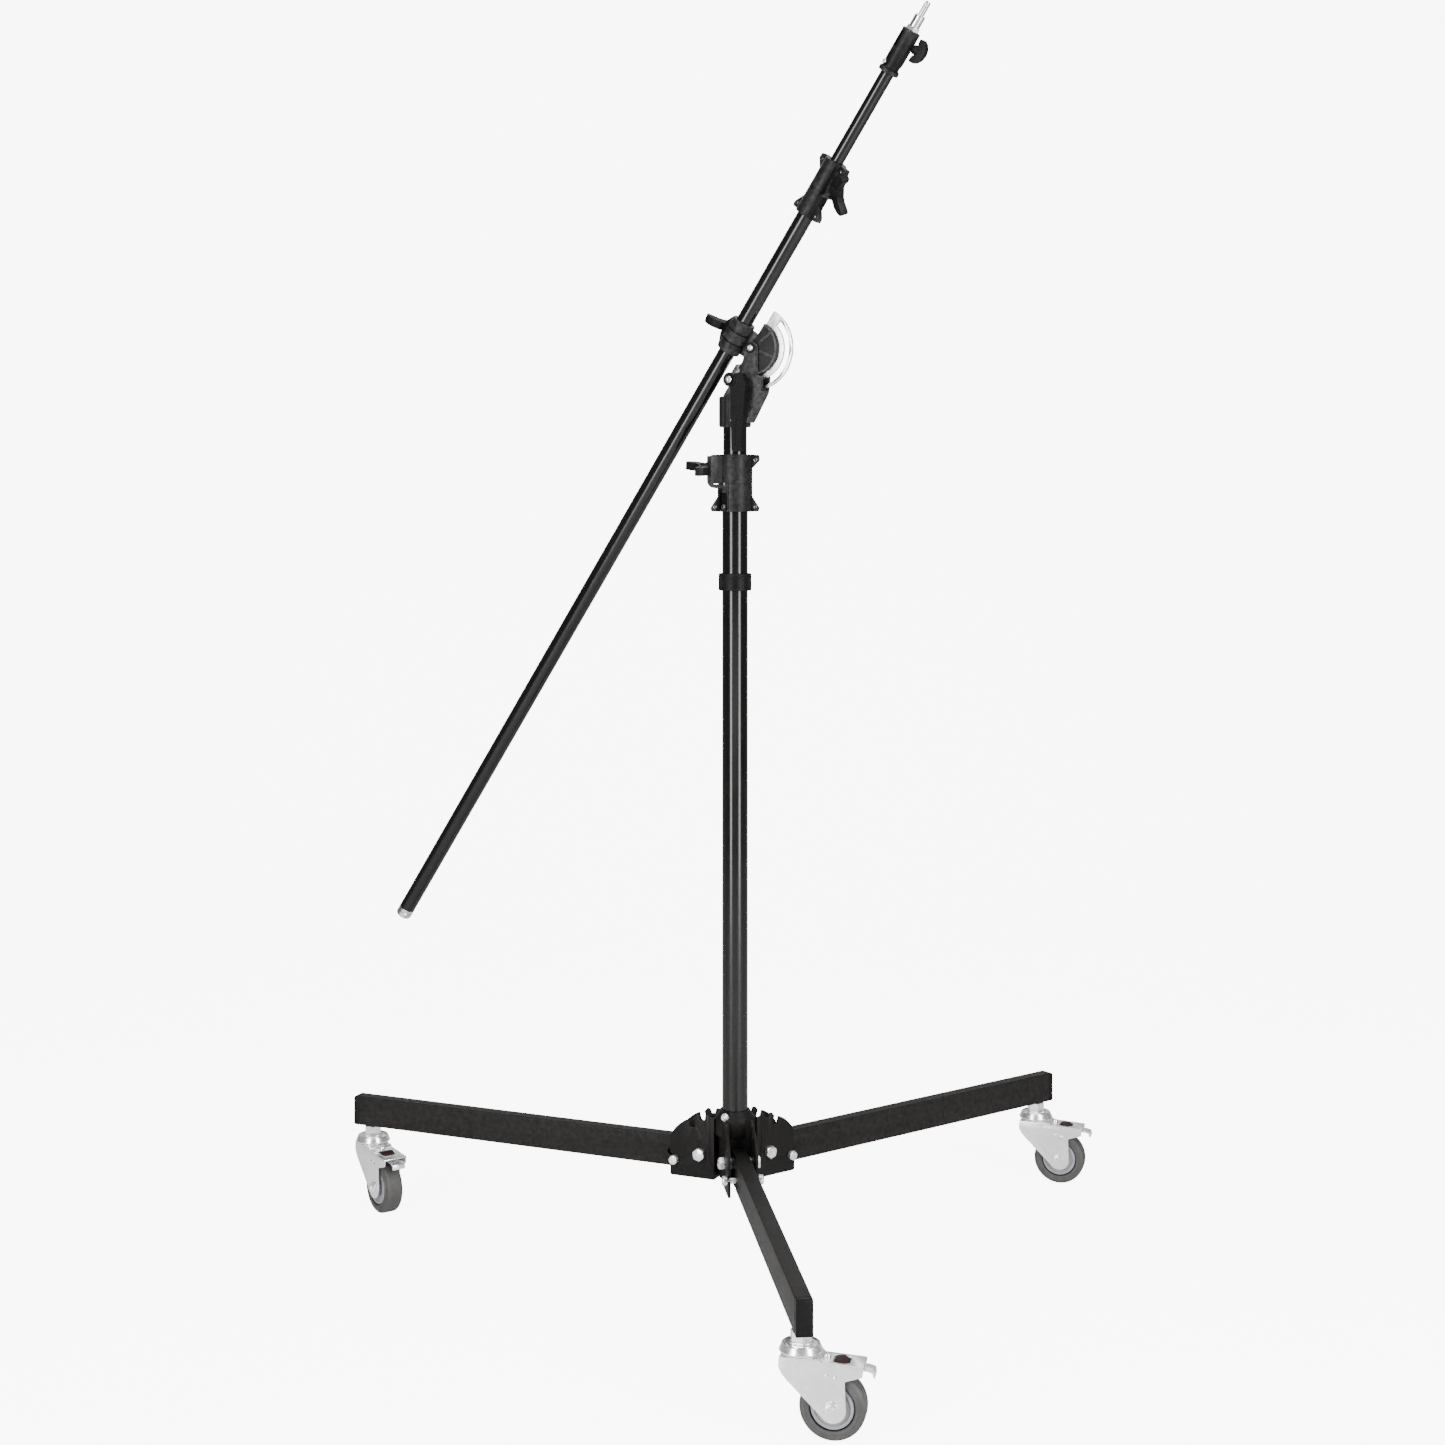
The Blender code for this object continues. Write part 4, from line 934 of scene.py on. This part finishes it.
def build_socket():
    low, high, r = -116.1, -70.6, 24.0
    ribs = [(18.0, low, 0), (r - 1.6, low, 0), (r - 0.3, low + 1.6, 0), (r, low + 3.0, 1.1),
            (r, high - 3.0, 1.1),
            (r - 0.3, high - 1.6, 0), (r - 1.6, high, 0), (5.0, high, 0), (5.0, high - 4.3, 0),
            (18.0, high - 4.3, 0)]
    socket = fluted(ribs, 16, 12)
    piece("ribbed_socket", socket, HEAD, "riser", GREY_CASTING, ["head_socket"], 40)
    heading = radians(-69)
    outward = (cos(heading), sin(heading), 0)
    screws = [along_axis(cross_screw(2.3, 1.2), (r * outward[0], r * outward[1], z), outward)
              for z in (-85.6, -106.5)]
    piece("socket_screws", joined(*screws), HEAD, "riser", ZINC)


def build_yoke():
    obj = as_object(prism(yoke_side(), YOKE_NEAR, YOKE_FAR))
    relief = along_axis(lathe([(0, 0.4), (QUADRANT_R + 2, 0.4), (QUADRANT_R + 2, SLOT_FAR),
                               (0, SLOT_FAR)], 96),
                        (TILT_X, 0, 0), (0, 1, 0))
    holes = [cross_hole(4.3, 40, x, z) for x, z in ((TILT_X, 0.0), (LEVER_X, LEVER_DZ))]
    shoulder = prism(fillet([(44.6, 20), (44.6, -40), (70, -46), (70, 20)], [0, 5, 0, 0], 5), -20,
                     SLOT_NEAR + 0.1)
    combine(obj, [block((-50, SLOT_NEAR, -60), (100, SLOT_FAR, 50)), relief, shoulder] + holes,
            "DIFFERENCE")
    bevelled(obj, 1.0, 3)
    piece("tilt_yoke", obj, HEAD, "riser", GREY_CASTING, ["head_fork"])


def build_head_bolts():
    near, far = YOKE_NEAR, YOKE_FAR
    pivot = joined(disc(4.0, -far - 7.0, -near + 1, 0.2),
                   lathe([(0, -near + 0.2), (4.3, -near + 0.2), (4.3, -near + 2.6), (3.6, -near + 3.6),
                          (2.2, -near + 3.8), (1.8, -near + 2.4), (0, -near + 2.4)], 48),
                   hexagon(13.0, -far - 6.6, -far - 0.3))
    along_axis(pivot, (TILT_X, 0, 0), (0, -1, 0))
    piece("tilt_pivot", pivot, HEAD, "riser", ZINC, ["tilt_pivot_bolt"])
    washer = along_axis(lathe([(4.5, -near + 0.1), (8.0, -near + 0.1), (8.0, -near + 1.0),
                               (7.4, -near + 1.5),
                               (4.5, -near + 1.5)], 64, ring=True), (TILT_X, 0, 0), (0, -1, 0))
    piece("tilt_washer", washer, HEAD, "riser", PLASTIC)
    lock = joined(disc(4.0, -far - 8.5, -near + 18.5, 0.2), hexagon(13.0, -far - 6.6, -far - 0.3))
    along_axis(lock, (LEVER_X, 0, LEVER_DZ), (0, -1, 0))
    piece("lever_bolt", lock, HEAD, "riser", ZINC, ["tilt_lock_bolt"])


def build_lever():
    frame_here = HEAD @ Matrix.Translation((LEVER_X, 0, LEVER_DZ))
    back, front = -25.0, -36.5
    outline = hull_of_circles([(5.5, -12.0, 4.5), (8.0, -101.5, 4.5), (15.0, -101.0, 4.5),
                               (18.5, -8.0, 8.5),
                               (15.0, 1.0, 8.5)], 14)
    obj = as_object(prism(outline, front, back))
    boss = lathe([(0, 2.4), (9.4, 2.4), (10.4, 1.4), (10.4, -9.0), (9.2, -9.2), (9.2, -20.7), (0, -20.7)],
                 64)
    combine(obj, [along_axis(boss, (0, front, 0), (0, -1, 0))], "UNION")
    ring = along_axis(lathe([(5.8, 0.6), (8.6, 1.4), (8.6, 4), (5.8, 4)], 64, ring=True), (0, front, 0),
                      (0, -1, 0))
    thumb = hull_of_circles([(16.0, -96.0, 2.4), (17.5, -60.0, 3.2), (14.0, -60.0, 3.2),
                             (11.5, -96.0, 2.4)], 10)
    combine(obj, [ring, cross_hole(4.3, 60, 0, 0), prism(thumb, front - 3, front + 1.0)], "DIFFERENCE")
    bevelled(obj, 1.6, 4, 50)
    piece("ratchet_lever", obj, frame_here, "lever", PLASTIC, ["tilt_lever"], 36)
    screw = as_object(lathe([(0, 2.6), (4.8, 2.6), (4.8, 3.4), (3.9, 4.4), (0, 4.8)], 48))
    combine(screw, [hexagon(3.8, 3.2, 7.0)], "DIFFERENCE")
    piece("lever_cap_screw", along_axis(as_bmesh(screw), (0, front, 0), (0, -1, 0)), frame_here, "lever",
          ZINC, ["lever_screw"])


def half_disc(radius, front_z, rear_z):
    """Lower part of a disc, cut level at front_z in front and at rear_z behind."""
    front, rear = (degrees(atan2(z, (radius ** 2 - z ** 2) ** 0.5)) for z in (front_z, rear_z))
    return arc(0, 0, radius, front, -180 - rear, 72)


def build_tilt_plates():
    obj = as_object(prism(half_disc(DISC_R, FLAT, FLAT), -6.0, 0.3))
    combine(obj, [cross_hole(4.3, 30, 0, 0, 40)], "DIFFERENCE")
    bevelled(obj, 0.8, 3)
    ribs = []
    for angle in (-18, -79, -140):
        rib = bevelled(as_object(block((11.0, -7.7, -2.2), (DISC_R - 1.2, -5.6, 2.2))), 0.6, 2)
        ribs.append(moved(as_bmesh(rib), Matrix.Rotation(radians(-angle), 4, "Y")))
    rim = along_axis(lathe([(DISC_R - 3.6, 5.5), (DISC_R - 0.6, 5.5), (DISC_R - 0.9, 7.7),
                            (DISC_R - 3.2, 7.7)], 96,
                           ring=True), (0, 0, 0), (0, -1, 0))
    rim_obj = combine(as_object(rim), [prism(half_disc(DISC_R + 5, FLAT - 1, FLAT - 1), -9, 9)],
                      "INTERSECT")
    piece("tilt_half_disc", joined(as_bmesh(obj), *ribs, as_bmesh(rim_obj)), BOOM, "collar", GREY_CASTING,
          ["tilt_disc"])
    outline = half_disc(QUADRANT_R, FLAT, 16.0) + [(-QUADRANT_R * 0.62, 16.0), (-QUADRANT_R * 0.5, FLAT)]
    plate = as_object(prism(outline, 0.9, 4.5))
    slot_r, width = hypot(TILT_X - LEVER_X, LEVER_DZ), 4.6
    slot = arc(0, 0, slot_r + width, -12, -182, 72) + arc(0, 0, slot_r - width, -182, -12, 72)
    combine(plate, [prism(slot, -10, 10), cross_hole(4.3, 30, 0, 0, 40)], "DIFFERENCE")
    bevelled(plate, 0.5, 3)
    piece("tilt_plate", plate, BOOM, "collar", ALLOY, ["tilt_quadrant"])


def build_collar():
    half, r = 25.5, 18.0
    band = [(12.9, -half), (r - 1.2, -half), (r, -half + 1.4)]
    for cut in (-8.6, 8.6):
        band += [(r, cut - 1.3), (r - 1.6, cut - 0.7), (r - 1.6, cut + 0.7), (r, cut + 1.3)]
    band += [(r, half - 1.4), (r - 1.2, half), (12.9, half)]
    obj = as_object(along_axis(lathe(band, 96, ring=True), (0, BOOM_Y, BOOM_Z), (1, 0, 0)))
    neck = block((-20.0, -7.4, FLAT + 0.3), (20.0, 0.3, BOOM_Z - 4.0))
    lean = Matrix.Translation((0, BOOM_Y, BOOM_Z)) @ Matrix.Rotation(-KNOB_LEAN, 4, "X")
    saddle = fillet([(-half, 0), (half, 0), (half, 14.0), (10.6, 26.1), (-10.6, 26.1), (-half, 14.0)],
                    [0, 0, 3.0, 2.0, 2.0, 3.0], 5)
    boss = moved(as_bmesh(bevelled(as_object(prism(saddle, -12.5, 12.5)), 3.0, 4)), lean)
    combine(obj, [neck, boss], "UNION")
    bore = along_axis(rod(12.9, -50, 50, 96), (0, BOOM_Y, BOOM_Z), (1, 0, 0))
    combine(obj, [bore], "DIFFERENCE")
    bevelled(obj, 0.35, 2, 45)
    piece("boom_collar_shown", obj, BOOM, "collar", CASTING, ["boom_collar"])
    knob = BOOM @ lean @ Matrix.Translation((0, 0, 26.5))
    wing_knob("boom_wing_knob", knob, "boom_knob", ["boom_knob"], radians(80))


def build_boom():
    low, high, plug_end = -1104.0, 251.5, -1120.0
    piece("boom", tube_solid(12.5, 10.3, low, high, 80), ALONG, "boom", GLOSS,
          ["boom_tube"])
    plug = [(0, low + 12), (10.0, low + 12), (10.0, low - 0.3), (12.4, low - 0.4), (12.5, low - 1.2),
            (12.5, low - 4.6), (11.7, low - 5.4), (11.7, low - 6.4), (12.5, low - 7.2),
            (12.5, plug_end + 2.0),
            (11.4, plug_end + 0.3), (0, plug_end)]
    piece("boom_end", lathe(plug, 64), ALONG, "boom", CHROME, ["boom_end_plug"])
    clamp_low, ears_turn, heading, reach = 209.5, radians(-12), radians(-18), 24.5
    base = ALONG @ Matrix.Translation((0, 0, clamp_low)) @ Matrix.Rotation(ears_turn, 4, "Z")
    lug = (heading - ears_turn, reach, 10.0, 34.0, 82.0)
    screws = build_clamp("boom_clamp", base, "boom", ["ext_clamp_body"], 17.0, (12.8, 10.4), 42.3, 27.5,
                         lug, 89.0)
    piece("boom_clamp_screws", joined(*screws), base, "boom", SCREW_BLACK)
    seat = radial_frame(ALONG, heading, reach + 0.3, clamp_low + 57.0)
    wing_knob("boom_clamp_wing_knob", seat, "ext_knob", ["ext_knob"], radians(-56))


def build_tip():
    tube_high = 486.0
    piece("boom_inner", tube_solid(10.0, 8.5, -310.0, tube_high, 80), ALONG, "extension", GLOSS,
          ["ext_tube"])
    low, high, r = 444.0, 512.0, 13.7
    floor = tube_high + 0.3
    profile = [(10.3, low), (14.3, low), (15.5, low + 1.0), (15.5, low + 5.6), (14.6, low + 6.6),
               (12.2, low + 9.0),
               (12.0, low + 11.0), (13.3, low + 17.0), (r, low + 20.0), (r, high - 1.0), (12.8, high),
               (8.3, high),
               (8.3, floor + 2.0), (4.0, floor + 2.0), (4.0, floor), (10.3, floor)]
    body = as_object(lathe(profile, 80, ring=True))
    window = prism(capsule(-11.0, 0, 11.0, 0, 3.1, 12), 6.0, 20.0, "XY")
    facing, screw_facing = radians(-118), radians(-125)
    window_height, knob_height = 496.0, high - 20
    screw_out = (cos(screw_facing), sin(screw_facing), 0)
    place = turned_frame(Matrix.Identity(4), (0, 0, window_height), (cos(facing), sin(facing), 0),
                         (0, 0, 1))
    cuts = [moved(window, place),
            along_axis(rod(3.4, 0, 20), (0, 0, knob_height), (1, 0, 0)),
            along_axis(rod(2.5, 0, 20, 24), (0, 0, low + 13), screw_out)]
    combine(body, cuts, "DIFFERENCE")
    bevelled(body, 0.3, 2, 45)
    piece("receiver", body, ALONG, "extension", CASTING, ["tip_receiver"])
    screw = joined(cross_screw(3.6, 2.2), disc(2.0, -3.2, 0.2, 0.2, 24))
    along_axis(screw, (14.0 * screw_out[0], 14.0 * screw_out[1], low + 13), screw_out)
    piece("receiver_screw", screw, ALONG, "extension", ZINC, ["tip_screw"])
    build_tip_knob(knob_height)
    build_spigot(floor + 2.6, high)


def build_tip_knob(height):
    stem = as_object(lathe([(0, 9.2), (2.9, 9.2), (2.9, 17.4), (6.4, 17.6), (7.2, 19.0), (6.8, 25.5),
                            (6.2, 28.0),
                            (0, 28.4)], 64))
    bar = fillet([(-17.6, 21.0), (-9.0, 22.0), (-6.0, 25.0), (6.0, 25.0), (9.0, 22.0), (17.6, 21.0),
                  (17.9, 27.0),
                  (14.5, 32.5), (8.0, 37.0), (0, 38.6), (-8.0, 37.0), (-14.5, 32.5), (-17.9, 27.0)], 2.2,
                  4)
    combine(stem, [prism(bar, -4.6, 4.6)], "UNION")
    bevelled(stem, 1.5, 4, 50)
    knob = along_axis(as_bmesh(stem), (0, 0, height), (1, 0, 0), (0, 0, 1))
    piece("tip_knob_shown", knob, ALONG, "tip_knob", PLASTIC, ["tip_knob"], 36)


def build_spigot(foot, high):
    shank = lathe([(0, foot), (6.2, foot), (6.4, foot + 0.6), (6.4, high - 11.3), (8.0, high - 10.8),
                   (8.0, high + 1.0), (0, high + 1.0)], 64)
    top = 558.0
    stud = [(0, high + 1.0), (7.8, high + 1.0), (7.8, top - 22.8), (7.2, top - 21.9), (4.0, top - 21.9),
            (4.0, top - 20.5)]
    pitch, crest = 1.5, 4.75
    for i in range(12):
        z = top - 20.5 + i * pitch
        stud += [(crest - 0.7, z), (crest, z + pitch / 2)]
    stud += [(crest - 0.7, top - 2.2), (crest - 1.4, top), (0, top)]
    piece("spigot_shown", joined(shank, hexagon(19.0, high + 0.3, high + 5.8), lathe(stud, 64)), ALONG,
          "spigot",
          CHROME, ["spigot"])


def build_head():
    build_socket()
    build_yoke()
    build_head_bolts()
    build_lever()
    build_tilt_plates()
    build_collar()


# ---------------------------------------------------------------- room

FLOOR_GLOW, WORLD_LIGHT = 8.0, 0.16


def area_light(name, place, aim, size, power):
    data = bpy.data.lights.new(name, "AREA")
    data.shape = "RECTANGLE"
    data.size, data.size_y = size
    data.energy = power
    lamp = bpy.data.objects.new(name, data)
    bpy.context.scene.collection.objects.link(lamp)
    lamp.location = place
    lamp.rotation_euler = (Vector(aim) - Vector(place)).to_track_quat("-Z", "Y").to_euler()


def floor_material():
    """Pale matt paper that shows brighter where it is seen directly than where it lights the object."""
    n = Nodes("floor")
    colour = n.ramp(n.noise(0.7, 3.0), [(0.3, (0.74, 0.74, 0.74)), (0.7, (0.78, 0.78, 0.78))])
    material = n.finish(colour, n.spread(n.noise(3.0), 0.55, 0.65), n.bump(n.noise(60.0), 0.02, 0.001))
    glow = n.add("Emission", Strength=FLOOR_GLOW)
    seen = n.add("LightPath").outputs["Is Camera Ray"]
    dark = n.add("Emission", Strength=0.0)
    mix, total = n.add("MixShader"), n.add("AddShader")
    n.link(seen, mix.inputs[0])
    n.link(dark.outputs[0], mix.inputs[1])
    n.link(glow.outputs[0], mix.inputs[2])
    n.link(n.shader.outputs[0], total.inputs[0])
    n.link(mix.outputs[0], total.inputs[1])
    n.link(total.outputs[0], n.tree.nodes["Material Output"].inputs["Surface"])
    return material


def build_floor():
    """Seamless pale sweep: a floor that curves up into a backdrop."""
    bm = bmesh.new()
    wide, front, back, radius, high = 9.0, -7.0, 5.0, 2.5, 6.0
    curve = [(back - radius + radius * sin(radians(a)),
              radius - radius * cos(radians(a))) for a in range(0, 91, 6)]
    line = [(front, 0.0)] + curve + [(back, high)]
    rows = [[bm.verts.new((x, y, z)) for x in (-wide, wide)] for y, z in line]
    for lower, upper in zip(rows, rows[1:]):
        bm.faces.new((lower[0], lower[1], upper[1], upper[0]))
    floor = as_object(bm, "floor")
    for face in floor.data.polygons:
        face.use_smooth = True
    floor.data.materials.append(floor_material())
    floor.location.z = -0.0005


def build_world():
    """Even white light, brighter where it is seen directly than where it lights the object."""
    world = bpy.data.worlds.new("studio")
    bpy.context.scene.world = world
    world.use_nodes = True
    tree = world.node_tree
    soft, seen = tree.nodes["Background"], tree.nodes.new("ShaderNodeBackground")
    for node, strength in ((soft, WORLD_LIGHT), (seen, FLOOR_GLOW + 1.0)):
        node.inputs["Color"].default_value = (1.0, 1.0, 1.0, 1.0)
        node.inputs["Strength"].default_value = strength
    path, mix = tree.nodes.new("ShaderNodeLightPath"), tree.nodes.new("ShaderNodeMixShader")
    tree.links.new(path.outputs["Is Camera Ray"], mix.inputs[0])
    tree.links.new(soft.outputs[0], mix.inputs[1])
    tree.links.new(seen.outputs[0], mix.inputs[2])
    tree.links.new(mix.outputs[0], tree.nodes["World Output"].inputs["Surface"])


def build_lights():
    area_light("overhead", (0.2, -0.4, 4.0), (0.0, 0.1, 0.3), (2.4, 2.4), 55)
    area_light("strip_left", (-1.75, -2.30, 1.4), (0.0, 0.1, 0.9), (0.8, 3.2), 150)
    area_light("strip_right", (1.95, -2.10, 1.4), (0.0, 0.1, 0.9), (0.8, 3.2), 150)
    area_light("low_front", (0.1, -3.4, 0.5), (0.1, -0.2, 0.08), (3.2, 0.4), 7)
    area_light("behind", (0.0, 3.2, 3.2), (0.0, 0.1, 0.8), (4.0, 2.0), 40)


def build_camera():
    data = bpy.data.cameras.new("camera")
    data.sensor_width = 36.0
    data.lens = 55.8
    data.shift_y = -0.165
    data.clip_end = 60.0
    camera = bpy.data.objects.new("camera", data)
    bpy.context.scene.collection.objects.link(camera)
    camera.location = (COLUMN.x - 0.0186, COLUMN.y - 3.330, 1.150)
    camera.rotation_euler = (pi / 2, 0, 0)
    bpy.context.scene.camera = camera


def main():
    build_base()
    build_column()
    build_riser_clamp()
    build_head()
    build_boom()
    build_tip()
    build_floor()
    build_world()
    build_lights()
    build_camera()


main()
